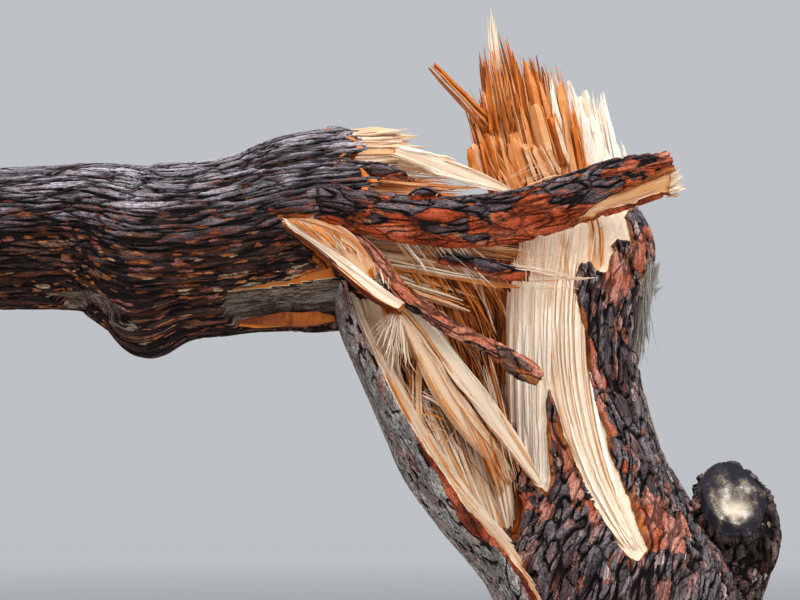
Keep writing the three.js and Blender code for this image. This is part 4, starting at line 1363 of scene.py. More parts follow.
def torn_board(rows, root, tip, width, thickness, tone, seed, grain=0.0075, face=(0, -1, 0), **options):
    """A torn board of the frame, in millimetres, as a sheaf of splinters over a few broad ones."""
    root = np.array(root) * MM
    tip = np.array(tip) * MM
    along = unit(tip - root)
    facing = np.array(face, float)
    facing = unit(facing - along * (facing @ along))
    side = np.cross(facing, along) * width * MM / 2
    roots = (root - side, root + side)
    tips = (tip - side * TIP_WIDTH, tip + side * TIP_WIDTH)
    depth = thickness * MM
    count = math.ceil(width * MM / grain * max(1.0, depth / grain))
    broad = max(5, math.ceil(BROAD_SPLINTERS * width))
    sheaf(rows, roots, tips, broad, 0.20 * width * MM, tone, seed + 500, layers=0.7 * thickness * MM,
          face=facing, **options)
    sheaf(rows, roots, tips, count, grain, tone, seed, layers=depth, face=facing, **options)


def torn_boards(rows, boards, tone, seed, **options):
    """Boards as (root, tip, width, thickness, teeth, raggedness), each with the next seed."""
    for k, (root, tip, width, thickness, teeth, ragged) in enumerate(boards):
        torn_board(rows, root, tip, width, thickness, tone, seed + k, teeth=teeth, ragged=ragged, **options)


def curtain(rows, root, tip, depths, count, width, tone, ragged=0.5, layers=0.05, **options):
    """A sheaf between two lines of the picture. Its width and the depths of its ends are in millimetres."""
    ends = [tuple(seen(*pixel, depth) for pixel in line) for line, depth in zip((root, tip), depths)]
    sheaf(rows, *ends, count, width * MM, tone, ragged=ragged, layers=layers, **options)


def curtains(rows, lines, seed, **options):
    """Several curtains, each with the next seed."""
    for k, line in enumerate(lines):
        curtain(rows, *line, seed=seed + k, **options)


print("a splinter has", KNOTS, "points along it")

# %% [markdown]
# ## Splinters on top of the standing stem
# The heart of the stem tore into tall orange spikes with pale broken slabs in front of them and hollows
# between, where the splinters further back are painted dark red as shade. The outer wood on the right is
# young and nearly white, and its spikes are shorter and broader. A few stand out by themselves.

# %% Orange and ivory spikes
# Torn boards, here and below: root, tip, width and thickness in millimetres, teeth and raggedness
HEARTWOOD_BOARDS = [
    ((-290, 20, 2330), (-412, -10, 2700), 100, 36, 4, 0.38),
    ((-280, 0, 2360), (-360, -10, 2850), 120, 40, 4, 0.36),
    ((-270, -55, 2300), (-395, -75, 2560), 60, 16, 3, 0.5),
    ((-225, 25, 2360), (-300, 15, 2810), 130, 44, 5, 0.34),
    ((-230, -40, 2330), (-300, -35, 2680), 90, 26, 3, 0.4),
    ((-160, 30, 2370), (-232, 25, 2800), 110, 42, 4, 0.36),
    ((-150, -30, 2330), (-195, -30, 2660), 90, 26, 3, 0.4),
]
SAPWOOD_BOARDS = [
    ((-100, 40, 2340), (-187, 30, 2765), 90, 36, 3, 0.38),
    ((-60, 40, 2330), (-112, 35, 2720), 110, 36, 4, 0.34),
    ((-20, 30, 2290), (-50, 30, 2580), 84, 30, 3, 0.3),
]
# Curtains, here and below: foot and top in the picture, depths, count, width, tones, raggedness and layers
TALL_SPIKE = [(((498, 140), (510, 138)), ((488, 2), (492, 5)), (15, 15), 5, 17, (-0.02, 0.2), 0.14, 0.01)]
LEFT_SPIKE = [(((490, 137), (501, 127)), ((427, 67), (433, 61)), (-30, -62), 6, 12, (0.5, 0.8), 0.05, 0.008)]
FRONT_SLABS = [
    (((474, 182), (500, 186)), ((466, 142), (486, 134)), (-60, -75), 6, 22, (0.30, 0.72), 0.3, 0.03),
    (((496, 186), (528, 184)), ((484, 132), (514, 128)), (-60, -75), 7, 22, (0.40, 0.80), 0.3, 0.03),
    (((516, 186), (548, 180)), ((500, 130), (532, 144)), (-60, -75), 5, 22, (0.28, 0.46), 0.3, 0.03),
    (((535, 182), (566, 174)), ((512, 134), (550, 146)), (-60, -75), 5, 22, (0.30, 0.55), 0.3, 0.03),
    (((545, 160), (572, 165)), ((530, 96), (556, 112)), (-60, -75), 7, 22, (0.20, 0.60), 0.3, 0.03),
]
DARK_TUFT = [(((488, 136), (524, 132)), ((482, 90), (512, 80)), (-44, -50), 12, 10, (0.74, 1.02), 0.55, 0.03)]
SAPWOOD_SPIKES = [
    (((555, 150), (566, 150)), ((546, 66), (551, 70)), (20, 15), 5, 13, (-0.06, 0.12), 0.2, 0.01),
    (((586, 140), (597, 140)), ((581, 83), (586, 85)), (20, 15), 5, 13, (-0.06, 0.12), 0.2, 0.01),
]

heart_rows = Rows()
torn_boards(heart_rows, HEARTWOOD_BOARDS, (0.36, 0.90), seed=100)
curtains(heart_rows, TALL_SPIKE, seed=110, blunt=0.0, roll=0.1)
curtains(heart_rows, LEFT_SPIKE, seed=111, teeth=1, blunt=1.0, square=0.97, roll=0.1, bow=0.002, fray=0.002)
curtains(heart_rows, FRONT_SLABS, seed=120, blunt=0.95, square=0.99)
curtains(heart_rows, DARK_TUFT, seed=128, blunt=0.1)
swept(heart_rows, "heartwood_spikes", "heartwood",
      ["heartwood_fan_left", "heartwood_fan_middle", "heartwood_fan_right"])

sap_rows = Rows()
torn_boards(sap_rows, SAPWOOD_BOARDS, (-0.10, -0.04), seed=200, grain=0.011)
curtains(sap_rows, SAPWOOD_SPIKES, seed=210, blunt=0.3, roll=0.1)
swept(sap_rows, "sapwood_spikes", "sapwood", ["sapwood_fan"])

# %% [markdown]
# ## Wood at the broken end and across the gap
# The end of the fallen stem frays into level fibres. More boards cross the gap, splinters stand up inside the
# shell, and behind them hangs the heart of the stem, torn into long hanging strips and painted dark red,
# partly as the shade at the back of the gap.

# %% Boards of the break
END_UPPER = [
    ((-780, -20, 2510), (-535, -30, 2535), 90, 60, 4, 0.5),
    ((-780, -80, 2470), (-515, -80, 2478), 90, 50, 4, 0.5),
    ((-780, -110, 2410), (-460, -120, 2380), 70, 30, 3, 0.6),
]
CROSS_UPPER = [
    ((-740, -165, 2235), (-275, -158, 2150), 60, 24, 3, 0.35),
    ((-740, -140, 2200), (-400, -150, 2085), 60, 24, 3, 0.4),
    ((-740, -180, 2265), (-215, -178, 2205), 44, 18, 2, 0.4),
]
END_LOWER = [
    ((-780, -150, 2370), (-390, -165, 2345), 80, 34, 4, 0.5),
    ((-780, 60, 2330), (-480, 50, 2300), 160, 50, 5, 0.4),
    ((-780, 0, 2230), (-470, -10, 2180), 130, 50, 5, 0.4),
]
CROSS_LOWER = [
    ((-725, -90, 2160), (-450, -60, 1830), 90, 30, 4, 0.45),
    ((-720, -30, 2150), (-520, -20, 1800), 80, 26, 3, 0.45),
]
GAP_BOARDS = [
    ((-330, -60, 1500), (-560, -60, 1990), 60, 24, 2, 0.35),
    ((-300, -20, 1520), (-470, 0, 1960), 90, 30, 3, 0.45),
    ((-320, 40, 1500), (-420, 50, 1900), 110, 30, 4, 0.45),
]
# From pale ones in front to the dark one at the back, which is darker as painted shade
GAP_TONES = [(0.08, 0.5), (0.2, 0.8), (0.5, 1.1)]
UNDERSIDE = [((-760, -90, 2066), (-1040, -80, 2054), 70, 12, 3, 0.5)]
# Torn wood behind the planks, its tones darker towards the back as painted shade. The first and deepest
# curtain is painted dark rust as the shade behind everything
HANGING_HEART = [
    (((388, 236), (520, 232)), ((450, 440), (514, 400)), (30, 70), 130, 16, (0.86, 1.3), 0.22, 0.07),
    (((392, 252), (484, 262)), ((462, 430), (512, 326)), (-60, -40), 110, 6, (0.42, 1.05), 0.5, 0.05),
    (((462, 505), (512, 470)), ((405, 315), (486, 290)), (20, 10), 80, 11, (0.70, 1.15), 0.45, 0.05),
    (((352, 262), (412, 240)), ((404, 440), (434, 415)), (-60, -30), 60, 12, (0.30, 1.1), 0.3, 0.05),
    (((352, 262), (368, 268)), ((392, 408), (410, 398)), (-120, -90), 16, 12, (0.10, 0.34), 0.25, 0.02),
]
PALE_STRIPS = [
    (((478, 545), (512, 545)), ((420, 405), (470, 385)), (-60, -80), 46, 8, (0.04, 0.40), 0.4, 0.03),
    (((500, 540), (520, 520)), ((452, 340), (496, 350)), (-60, -60), 36, 8, (0.06, 0.60), 0.5, 0.03),
    (((409, 438), (423, 440)), ((409, 350), (423, 346)), (-112, -122), 5, 17, (0.30, 0.50), 0.1, 0.01),
    (((470, 520), (490, 530)), ((372, 335), (396, 330)), (-60, -120), 26, 8, (0.08, 0.45), 0.4, 0.03),
]

end_rows = Rows()
torn_boards(end_rows, END_UPPER, (-0.02, 0.30), seed=300)
torn_boards(end_rows, CROSS_UPPER, (0.10, 0.55), seed=320)
swept(end_rows, "end_fibres_pale", "sapwood", ["bole_end_upper", "cross_boards_upper"])

deep_rows = Rows()
torn_boards(deep_rows, END_LOWER, (0.30, 0.80), seed=340)
torn_boards(deep_rows, CROSS_LOWER, (0.40, 0.95), seed=360)
curtains(deep_rows, HANGING_HEART, seed=370, teeth=4)
swept(deep_rows, "end_fibres_deep", "heartwood", ["bole_end_lower", "cross_boards_lower"])

gap_rows = Rows()
for k, (board, tone) in enumerate(zip(GAP_BOARDS, GAP_TONES)):
    torn_boards(gap_rows, [board], tone, seed=380 + k)
curtains(gap_rows, PALE_STRIPS, seed=390, teeth=4)
swept(gap_rows, "gap_fibres", "sapwood", ["gap_splinters"])

slab_rows = Rows()
torn_boards(slab_rows, UNDERSIDE, (0.62, 1.35), seed=403, face=(0, 0, -1), roll=0.15)
swept(slab_rows, "slab_fibres", "heartwood", ["underside_slab"])

# %% [markdown]
# ## Whole planks
# Some wood came away in one piece, split smoothly along its grain: a broad blade that reaches down from the
# fallen stem, and two long planks that lean on it. They are limbs with squared sections, whose ends are
# shifted along the grain to make teeth.

# %% Blade and planks
PLANK_SIDES = 96
PLANK_SPACING = 4.0
SQUARENESS = 0.28
RIB_HEIGHT = 0.0008
TOOTH_ZONE = 0.12


def pixel_stations(path, depths, radii, thickness):
    """Stations through pixels of the picture, with depths and radii in millimetres."""
    places = [seen(*pixel, depth) / MM for pixel, depth in zip(path, np.linspace(*depths, len(path)))]
    return [(*place, radius, thickness * radius) for place, radius in zip(places, radii)]


# Path in the picture, depths, radii and thickness, then the solid, the slot, two tones and the teeth's
# length.
# The first tone is the lower edge's, mostly darker as painted shade, and the second the upper side's
PLANKS = {
    "torn_blade_wood": (
        [(246, 212), (274, 218), (302, 236), (330, 256), (352, 274), (378, 294), (400, 307)],
        (-222, -246), (2, 5, 7, 9, 12, 15, 13), 0.7, "torn_blade", "sapwood", (1.4, 0.05), 0.006),
    "torn_blade_sheet": (
        [(256, 212), (284, 220), (314, 232), (342, 247), (372, 272)],
        (-216, -234), (4, 17, 33, 36, 16), 0.2, "torn_blade", "heartwood", (0.34, 0.30), 0.012),
    "end_plank": (
        [(396, 152), (430, 162), (470, 176), (515, 193)],
        (-150, -178), (13, 19, 17, 6), 0.3, "bole_end_upper", "sapwood", (0.02, 0.08), 0.010),
    "pale_plank": (
        [(390, 286), (406, 304), (428, 329), (446, 354), (468, 383), (492, 417), (516, 449), (541, 486)],
        (-206, -119), (12, 15, 17, 18, 18, 17, 14, 8), 0.5, "long_plank_1", "sapwood", (0.34, 0.06), 0.012),
    "orange_plank": (
        [(402, 318), (422, 350), (441, 384), (462, 416), (486, 447), (510, 478)],
        (-200, -89), (9, 18, 22, 22, 18, 9), 0.5, "long_plank_2", "heartwood", (0.36, 0.22), 0.014),
}


def plank(name, path, depths, radii, thickness, node, slot, tones, teeth):
    """A split plank with toothed ends. It takes one tone along its lower edge, mostly a darker one as painted
    shade, and another above it.
    """
    stations = pixel_stations(path, depths, radii, thickness)
    limb = even_limb(stations, PLANK_SIDES, PLANK_SPACING, roundness=SQUARENESS)
    draw = np.random.default_rng(len(name))
    waves = sum(np.sin(n * limb.angles + draw.random() * 6) / n ** 0.5 for n in (3, 7, 12, 19, 31))
    share = np.linspace(0, 1, len(limb.points))[:, None]
    near_end = np.clip(1 - (1 - share) / TOOTH_ZONE, 0, 1) ** 2 - np.clip(1 - share / TOOTH_ZONE, 0, 1) ** 2
    ribs = sum(np.sin(n * limb.angles + 9 * share * draw.random() + draw.random() * 6) for n in (9, 17, 26))
    limb.points += limb.normals() * (RIB_HEIGHT * ribs)[..., None]
    limb.points += limb.along[:, None] * (near_end * waves * teeth)[..., None]
    limb.notes["bare"][:] = 0.1
    limb.notes["hold"][:] = 1.0
    # The lower edge's tone is mostly a darker one: painted shade under the plank
    upper = np.clip((np.cos(limb.angles) + 0.45) / 0.25, 0, 1)
    limb.notes["tone"][:] = between(tones, upper)
    limb.close((-0.004, 4, 0.55), (-0.004, 4, 0.75), hold=1.0)
    barked(limb, name, "strip", slot, [node])
    return limb


planks = [plank(plank_name, *settings) for plank_name, settings in PLANKS.items()]

# %% Bits of bark left at the break
# Path in the picture, depths, radii and thickness
BARK_BITS = {
    "bark_finger": ([(335, 172), (362, 170), (392, 172), (413, 181)], (-190, -235), (30, 22, 15, 5), 0.7),
    "bark_lump": ([(409, 197), (418, 194), (429, 193), (441, 197)], (-278, -278), (5, 13, 12, 5), 0.7),
    "bark_stick": ([(438, 258), (470, 262), (505, 272), (529, 276)], (-190, -205), (12, 16, 17, 12), 0.7),
}
BIT_SIDES = 48
BIT_SPACING = 3.2

for bit_name, bit in BARK_BITS.items():
    limb = even_limb(pixel_stations(*bit), BIT_SIDES, BIT_SPACING)
    limb.notes["rust"] = (-limb.normals()[..., 2] - 0.35) * 0.03
    limb.close((-0.003, 3, 0.5), (-0.003, 3, 0.5))
    barked(limb, bit_name, "strip", "bark", [])

# %% Splinters that lie on bare wood
LAID_KNOTS = 9
LAID_LIFT = 0.0035
# How far inside the bare wood a splinter starts, and how far inside it still has to end
LAID_START = 0.012
LAID_END = 0.006


def spindle(knots, first, last, fullness):
    """Widths along a splinter that is thin at both ends."""
    return np.clip(np.sin(np.linspace(first, last, knots) * math.pi) * fullness, 0.12, 1)


def laid_splinters(rows, limb, count, width, reach, sunk, least_tone, seed):
    """Splinters along a limb's bare wood. reach is how many rings the shortest and the longest cross."""
    draw = np.random.default_rng(seed)
    points, normals, bare, tone = limb.body
    starts = np.argwhere((bare > LAID_START) & (tone >= least_tone))
    starts = starts[draw.integers(len(starts), size=count)]
    length = draw.integers(*reach, size=count)[:, None]
    ring = starts[:, :1] + (length * np.linspace(0, 1, LAID_KNOTS)).astype(int)
    fits = ring[:, -1] < len(points)
    ring = ring[fits]
    side = starts[fits, 1:]
    stays = bare[ring[:, -1], side[:, 0]] > LAID_END
    ring, side = ring[stays], side[stays]
    kept = len(ring)
    lift = (LAID_LIFT * draw.random(kept))[:, None, None] - sunk
    size = width * uneven(draw, kept, 0.6, 0.4, 3)[:, None]
    tones = tone[ring[:, 0], side[:, 0]] + 0.14 * draw.normal(size=kept)
    outwards = normals[ring, side]
    rows.add(points[ring, side] + outwards * lift, size * spindle(LAID_KNOTS, 0.04, 0.97, 1.7), outwards,
             tones[:, None])


laid_rows = Rows()
laid_splinters(laid_rows, trunk, 900, 0.008, (14, 80), BARE_DEPTH, 0.3, 500)
laid_splinters(laid_rows, shell, 260, 0.006, (8, 45), BARE_DEPTH, 0.0, 501)
laid_splinters(laid_rows, tongue, 120, 0.005, (8, 60), BARE_DEPTH, 0.0, 502)
for k, limb in enumerate(planks):
    laid_splinters(laid_rows, limb, 110, 0.005, (20, 90), 0.001, 0.0, 510 + k)
swept(laid_rows, "laid_splinters", "heartwood", [])

# %% [markdown]
# ## Splinters that lie on the pale face
# The face where the bark was pulled off is not smooth: long flat splinters stand a little proud of it, with
# thin shadows between them. Each follows the grain from the top of the face down one of its two tongues. The
# rows find their places on the trunk itself, from pixels of the picture.

# %% Splinters on the face
FACE_SPLINTERS = 150
FACE_KNOTS = 13
FACE_LINES = {"top": ((503, 228), (601, 222)), "middle": ((501, 400), (596, 400)),
              "left_end": ((512, 480), (546, 486)), "right_end": ((626, 548), (648, 552))}
FACE_SPLIT = 0.5
FACE_WIDTH = 0.0065
FACE_LIFT = 0.002
FACE_TONES = (0.22, 0.03)
FACE_DARK_SHARE = 0.2


def face_lines(draw, count):
    """Lines of the grain, as pixels for shares of their length from the top."""
    across = draw.random(count)[:, None]
    left = np.clip(across / FACE_SPLIT, 0, 1)
    right = np.clip((across - FACE_SPLIT) / (1 - FACE_SPLIT), 0, 1)
    ends = {name: np.array(line, float) for name, line in FACE_LINES.items()}
    top = between(ends["top"], across)
    middle = between(ends["middle"], across)
    end = np.where(across < FACE_SPLIT, between(ends["left_end"], left), between(ends["right_end"], right))
    start = 0.92 * draw.random(count) ** 1.4
    stop = np.minimum(start + 0.15 + 0.6 * draw.random(count), 0.99)
    share = (start[:, None] + (stop - start)[:, None] * np.linspace(0, 1, FACE_KNOTS))[..., None]
    bow = 4 * share * (1 - share)
    straight = between((top[:, None], end[:, None]), share)
    lean = middle - between((top, end), 0.5)
    return straight + lean[:, None] * bow


draw = np.random.default_rng(77)
face_rows = Rows()
face_pixels = face_lines(draw, FACE_SPLINTERS)
face_points, face_normals = near_side(trunk, face_pixels)
face_width = FACE_WIDTH * uneven(draw, FACE_SPLINTERS, 0.7, 0.4, 3.6)[:, None]
face_taper = spindle(FACE_KNOTS, 0.05, 0.98, 1.8)
face_lift = (FACE_LIFT * draw.random(FACE_SPLINTERS))[:, None, None] - BARE_DEPTH
face_tone = np.where(draw.random(FACE_SPLINTERS) < FACE_DARK_SHARE, *FACE_TONES)
face_tone += 0.04 * draw.normal(size=FACE_SPLINTERS)
# The splinters on the shaded left panel are painted whiter too, as painted light
face_tone -= np.where(face_pixels[:, 0, 0] < SHADED_PANEL_END, SHADED_PANEL_LIFT, 0)
face_places = face_points + face_normals * face_lift
face_rows.add(face_places, face_width * face_taper, face_normals, face_tone[:, None])
swept(face_rows, "face_splinters", "sapwood", [])

# %% Fine fibres
# Hair-thin fibres that came loose, as curtains. The last three are the grey fray on the trunk's right edge
LOOSE_FIBRES = [
    (((390, 312), (400, 320)), ((364, 338), (398, 394)), (-215, -190), 24, 3.0, (-0.05, 0.2)),
    (((398, 318), (406, 324)), ((398, 388), (442, 368)), (-215, -170), 20, 3.0, (-0.05, 0.2)),
    (((354, 246), (392, 282)), ((362, 268), (394, 300)), (-225, -240), 26, 2.2, (0.0, 0.4)),
    (((326, 232), (352, 246)), ((340, 262), (366, 258)), (-236, -240), 14, 2.0, (0.0, 0.4)),
    (((286, 219), (334, 232)), ((318, 240), (368, 264)), (-236, -248), 26, 3.0, (0.5, 0.9)),
    (((390, 238), (470, 245)), ((430, 290), (520, 300)), (-190, -150), 70, 2.8, (0.0, 0.6)),
    (((396, 256), (486, 262)), ((470, 400), (512, 322)), (-130, -80), 56, 2.6, (0.2, 0.95)),
    (((498, 500), (520, 470)), ((418, 330), (480, 290)), (-110, -120), 36, 2.6, (0.2, 0.9)),
    (((400, 440), (430, 470)), ((440, 380), (470, 420)), (-100, -90), 30, 2.6, (0.1, 0.6)),
    (((422, 386), (424, 428)), ((448, 398), (450, 440)), (-120, -110), 18, 3.0, (0.1, 0.7)),
    (((396, 256), (450, 262)), ((440, 332), (500, 352)), (-140, -110), 44, 4.5, (0.6, 1.1)),
    (((396, 150), (402, 196)), ((444, 164), (500, 196)), (-100, -140), 50, 3.0, (-0.05, 0.25)),
    (((500, 180), (530, 186)), ((556, 148), (572, 172)), (-120, -130), 6, 1.7, (0.0, 0.3)),
    (((522, 238), (572, 232)), ((518, 312), (580, 300)), (-197, -194), 26, 2.0, (0.1, 0.42)),
    (((508, 262), (516, 272)), ((588, 284), (606, 288)), (-200, -215), 7, 5.0, (-0.05, 0.25)),
    (((520, 255), (530, 290)), ((566, 246), (600, 296)), (-190, -200), 12, 2.0, (0.0, 0.3)),
    (((668, 178), (668, 196)), ((682, 168), (684, 192)), (-245, -255), 60, 3.6, (0.0, 0.3)),
    (((643, 262), (659, 264)), ((637, 356), (644, 322)), (-30, 10), 90, 2.2, (-1.0, -0.8)),
    (((641, 290), (650, 300)), ((636, 384), (641, 362)), (-20, 20), 60, 2.2, (-1.0, -0.8)),
    (((645, 268), (653, 296)), ((659, 266), (664, 288)), (10, 20), 44, 2.2, (-1.0, -0.8)),
]
fibre_rows = Rows()
curtains(fibre_rows, LOOSE_FIBRES, seed=420, teeth=5, bow=0.05, fray=0.07, blunt=0.1)
swept(fibre_rows, "loose_fibres", "sapwood", [], tree=HAIR_SWEEP)

# %% [markdown]
# ## The boughs of the crown
# Boughs leave the fallen stem in a spiral, as on the living tree, each a golden angle further round than the
# one before. They are worked out by the rule that made the frame's boughs, with the same seeded draws, so
# each lies where its solid is. A bough swells where it leaves the stem.

# %% Draws and bough stations
LEHMER_FACTOR = 16807
LEHMER_MODULUS = 2147483647
BOUGH_COUNT = 12
BOUGH_PLACES = (-2040, -4020)
BOUGH_TURN = math.radians(137.5)
BOUGH_REACHES = (980, 560)
BOUGH_RADII = (78, 40)
MASS_LENGTHS = (1380, 900)
LEADER_LENGTH = 1250


def series(seed):
    """A row of numbers from 0 to 1, each worked out from the one before."""
    state = abs(seed) % (LEHMER_MODULUS - 1) + 1

    def draw():
        nonlocal state
        state = state * LEHMER_FACTOR % LEHMER_MODULUS
        return state / LEHMER_MODULUS

    draw()
    draw()
    return draw


def bole_axis_at(x):
    points = curve_values(filled(BOLE_STATIONS), np.linspace(0, 1, CURVE_SAMPLES))[:, :3]
    return np.array([np.interp(-x, -points[:, 0], points[:, k]) for k in range(3)])


def bough_spec(k):
    """A bough's stations, in millimetres, and the heading and length of the twigs at its tip."""
    along = k / (BOUGH_COUNT - 1)
    draw = series(31 * (k + 1))
    turn = k * BOUGH_TURN + 0.5 + 0.3 * draw()
    outwards = np.array((0, math.cos(turn), math.sin(turn)))

    def leaning(share):
        return unit(outwards + np.array((-share, 0, 0)))

    root = bole_axis_at(between(BOUGH_PLACES, along))
    reach = between(BOUGH_REACHES, along) * (0.9 + 0.2 * draw() + 0.8 * max(0, -outwards[2]))
    middle = root + leaning(0.25) * 0.55 * reach
    tip = middle + leaning(0.75 + 0.3 * draw()) * 0.5 * reach
    thick = between(BOUGH_RADII, along)
    stations = [(*root, 1.15 * thick), (*middle, 0.78 * thick), (*tip, 0.55 * thick)]
    return {"stations": stations, "heading": leaning(0.8), "length": between(MASS_LENGTHS, along)}


BOUGHS = [bough_spec(k) for k in range(BOUGH_COUNT)]
LEADER = {"stations": BOLE_STATIONS, "heading": np.array((-0.98, -0.06, 0.05)), "length": LEADER_LENGTH}
print("the first bough ends at", [round(value) for value in BOUGHS[0]["stations"][-1][:3]])

# %% Boughs with their bark
BOUGH_SIDES = 44
BOUGH_SPACING = 11
COLLAR_SWELL = 0.35
COLLAR_REACH = 0.07

for k, spec in enumerate(BOUGHS):
    bough = even_limb(spec["stations"], BOUGH_SIDES, BOUGH_SPACING, depth_axis=(0.9, 0.3, 0.3))
    thick = spec["stations"][0][3] * MM
    root_place = bole_axis_at(spec["stations"][0][0])
    bole_thick = np.interp(-root_place[0], [-s[0] for s in BOLE_STATIONS], [s[3] for s in BOLE_STATIONS]) * MM
    clear = np.maximum(bough.place[..., 0] - bole_thick, 0)
    bough.points += bough.normals() * (COLLAR_SWELL * thick * np.exp(-clear / COLLAR_REACH))[..., None]
    bough.close((0.0, 2, 0.3), (-0.01, 5, -0.6))
    barked(bough, f"bough_bark_{k + 1}", "bough", "bark", [f"bough_{k + 1}"])

# %% [markdown]
# ## Bare twigs
# The crown is dead and bare. Each bough ends in one stem that forks in a spiral, again and again, by the
# frame's own rule and seeds: a crooked path, side shoots that grow shorter towards its tip, and nothing that
# would leave its own space or touch a limb. The frame stops at the third order of twigs. Here the rule goes
# on to a fifth, with thin twigs that stay inside the same reach.

# %% The rule of the twigs
MASS_REACH = 900
MASS_GAP = 40
TWIG_SEGMENTS = (4, 2, 1)
TWIG_SHOOTS = (8, 3, 6, 6)
FRAME_ORDERS = 3
TWIG_STRAY = 0.42
TWIG_TURN = 2.4
TWIG_SPREAD = (0.75, 1.1)
TWIG_LENGTHS = (0.62, 0.28)
FINE_TWIG_LENGTHS = (0.85, 0.45)
THINNEST_TWIG = 2.4
THINNEST_FINE_TWIG = 1.1
TWIG_GROUND_CLEARANCE = 4
LIMB_BALLS = 24
LIMB_MARGIN = 1.4
SPIRAL_START = np.array((0.3, 0.2, 0.93))
MASSES = [*BOUGHS, LEADER]
CENTRES = np.array([np.array(mass["stations"][-1][:3]) + mass["heading"] * 0.5 * mass["length"]
                    for mass in MASSES])


def balls_along(stations):
    """Balls along a limb that a twig keeps out of: their middles and radii."""
    shares = np.linspace(0, 1, LIMB_BALLS + 1)
    radii = np.interp(shares * (len(stations) - 1), range(len(stations)), [one[3] for one in stations])
    return np.column_stack((curve_values(filled(stations), shares)[:, :3], LIMB_MARGIN * radii))


LIMB_SPACES = [balls_along(mass["stations"]) for mass in MASSES]


def twig_rule(own):
    """Whether a path keeps to the space nearest the middle of its own mass, clear of the other limbs."""
    others = np.delete(CENTRES, own, axis=0)
    balls = np.concatenate([space for k, space in enumerate(LIMB_SPACES) if k != own])

    def allowed(points, radius):
        spots = np.concatenate((0.5 * (points[:-1] + points[1:]), points[1:]))
        distance = np.sqrt(((spots - CENTRES[own]) ** 2).sum(axis=1))
        if distance.max() >= MASS_REACH:
            return False
        away = np.sqrt(((spots[:, None] - others) ** 2).sum(axis=2))
        if (away <= distance[:, None] + MASS_GAP).any():
            return False
        clear = ((spots[:, None] - balls[:, :3]) ** 2).sum(axis=2)
        return bool((clear > (balls[:, 3] + radius) ** 2).all())

    return allowed


print("middle of the first mass:", CENTRES[0].round())

# %% Twigs that fork


def shoots(start, heading, length, radius, order, seed, allowed):
    """One twig and all that grows from it, as a list of (points, radius, order) in millimetres."""
    draw = series(seed)
    segments = TWIG_SEGMENTS[min(order, len(TWIG_SEGMENTS) - 1)]
    points = [start]
    way = heading / math.sqrt(heading @ heading)
    for _ in range(segments):
        way = way + (np.array((draw(), draw(), draw())) - 0.5) * TWIG_STRAY
        way = way / math.sqrt(way @ way)
        following = points[-1] + way * (length / segments)
        following[2] = max(following[2], radius + TWIG_GROUND_CLEARANCE)
        points.append(following)
    points = np.array(points)
    if order > 0 and not allowed(points, radius):
        return []
    found = [(points, radius, order)]
    count = TWIG_SHOOTS[order] if order < len(TWIG_SHOOTS) else 0
    is_fine = order + 1 >= FRAME_ORDERS
    lengths = FINE_TWIG_LENGTHS if is_fine else TWIG_LENGTHS
    thinnest = THINNEST_FINE_TWIG if is_fine else THINNEST_TWIG
    for k in range(count):
        t = 0.16 + 0.8 * (k + draw() * 0.5) / count
        place = t * segments
        first = min(int(place), segments - 1)
        step = points[first + 1] - points[first]
        direction = step / math.sqrt(step @ step)
        spin = k * TWIG_TURN + draw()
        spread = between(TWIG_SPREAD, draw())
        outwards = np.cross(direction, SPIRAL_START)
        outwards = outwards / math.sqrt(outwards @ outwards)
        outwards = outwards * math.cos(spin) + np.cross(direction, outwards) * math.sin(spin)
        sideways = direction * math.cos(spread) + outwards * math.sin(spread)
        side_length = length * between(lengths, t) * (0.8 + 0.4 * draw())
        side_radius = max(thinnest, radius * (1 - 0.75 * t) * 0.62)
        found += shoots(points[first] + step * (place - first), sideways, side_length, side_radius, order + 1,
                        seed * 13 + k * 7 + 5, allowed)
    return found


def mass_twigs(own, seed):
    mass = MASSES[own]
    tip = np.array(mass["stations"][-1][:3])
    before = curve_values(filled(mass["stations"]), np.array([0.97]))[0, :3]
    outwards = unit(tip - before)
    last_radius = mass["stations"][-1][3]
    return shoots(tip - outwards * 0.6 * last_radius, outwards + mass["heading"], mass["length"],
                  0.85 * last_radius, 0, seed, twig_rule(own))


TWIG_SEEDS = [101 + 17 * k for k in range(BOUGH_COUNT)] + [977]
TWIGS = [mass_twigs(own, seed) for own, seed in enumerate(TWIG_SEEDS)]
print("twigs in each mass:", [len(twigs) for twigs in TWIGS])

# %% Twigs as rods
MASS_GROUPS = [(0, 1, 2), (3, 4, 5), (6, 7, 8), (9, 10, 11), (12,)]
MASS_NODES = [f"twigs_{k + 1}" for k in range(BOUGH_COUNT)] + ["twigs_leader"]
TWIG_TAPER = 0.8
TWIG_BOW = 0.05
# For each order of twigs, the points along one
ORDER_POINTS = (17, 9, 5, 4, 3)
STEM_COLOUR = (0.085, 0.068, 0.062)
SHOOT_COLOUR = (0.13, 0.075, 0.055)
SCALE_COLOUR = (0.035, 0.026, 0.024)
PATCH_COLOUR = (0.24, 0.23, 0.21)


def twig_finish():
    material, net = new_finish("twig_bark")
    place = net.add("ShaderNodeTexCoord", {}, "Object")
    grain = read_note(net, "grain", "Vector")
    fine = read_note(net, "tone")
    patches = net.noise(place, 9.0, 3.0)
    scales = net.noise(grain * (60, 30, 30) + place * 120.0, 1.0, 3.0)
    colour = net.mix(fine, STEM_COLOUR, SHOOT_COLOUR)
    colour = net.mix((scales - 0.5) * 2.0, colour, SCALE_COLOUR)
    colour = net.mix(patches.step(0.52, 0.68) * 0.6, colour, PATCH_COLOUR)
    end_finish(net, colour, 0.88, scales * 0.0015)
    return material


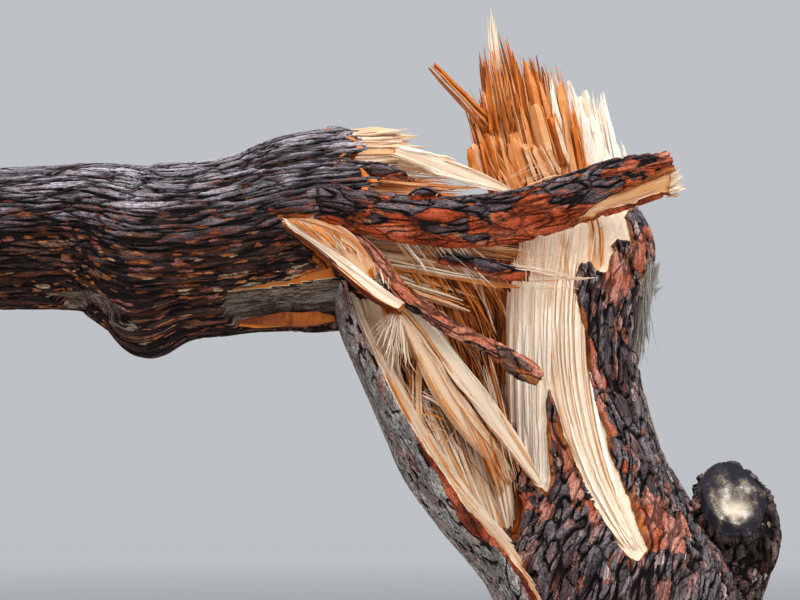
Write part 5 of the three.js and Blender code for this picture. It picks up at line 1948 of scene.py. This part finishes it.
TWIG_BARK = twig_finish()
TWIG_SWEEPS = {
    (0,): sweep_tree("stem_sweep", 9),
    (1, 2): sweep_tree("shoot_sweep", 6),
    (3, 4): sweep_tree("twig_sweep", 3),
}


def rods_of(twigs, orders, seed):
    """Rows for all twigs of these orders: the long ones are smooth curves, and the short ones slight bows."""
    draw = np.random.default_rng(seed)
    rows = Rows()
    for order in orders:
        chosen = [twig for twig in twigs if twig[2] == order]
        if not chosen:
            continue
        shares = np.linspace(0, 1, ORDER_POINTS[order])
        corners = np.array([points for points, _, _ in chosen]) * MM
        radii = np.array([radius for _, radius, _ in chosen])[:, None] * MM
        if order < 2:
            paths = np.array([curve_values([(*p, 0, 0) for p in one], shares)[:, :3] for one in corners])
        else:
            run = corners[:, -1:] - corners[:, :1]
            paths = corners[:, :1] + run * shares[None, :, None]
            length = np.linalg.norm(run, axis=2, keepdims=True)
            bend = draw.normal(size=(len(chosen), 1, 3)) * length * TWIG_BOW
            paths = paths + bend * np.sin(math.pi * shares)[None, :, None]
        width = 2 * radii * (1 - TWIG_TAPER * shares)
        paths[..., 2] = np.maximum(paths[..., 2], 0.5 * width + MM)
        side = unit(np.cross(corners[:, -1] - corners[:, 0], SPIRAL_START))[:, None]
        rows.add(paths, width, side, np.full(width.shape, order / 4))
    return rows


def joined(name, meshes):
    """Several plain meshes that share one finish, as one."""
    tool = bmesh.new()
    for mesh in meshes:
        tool.from_mesh(mesh)
    whole = bpy.data.meshes.new(name)
    tool.to_mesh(whole)
    tool.free()
    whole.materials.append(meshes[0].materials[0])
    return whole


for number, group in enumerate(MASS_GROUPS):
    twigs = [twig for own in group for twig in TWIGS[own]]
    parts = []
    for orders, tree in TWIG_SWEEPS.items():
        rods = rods_of(twigs, orders, 700 + number).to_object("rods")
        parts.append(run_nodes(rods, tree, {"Finish": TWIG_BARK}))
    mesh = joined(f"crown_twigs_{number + 1}", parts)
    mesh.polygons.foreach_set("use_smooth", [True] * len(mesh.polygons))
    add_piece(f"crown_twigs_{number + 1}", mesh, "twigs", [MASS_NODES[own] for own in group])
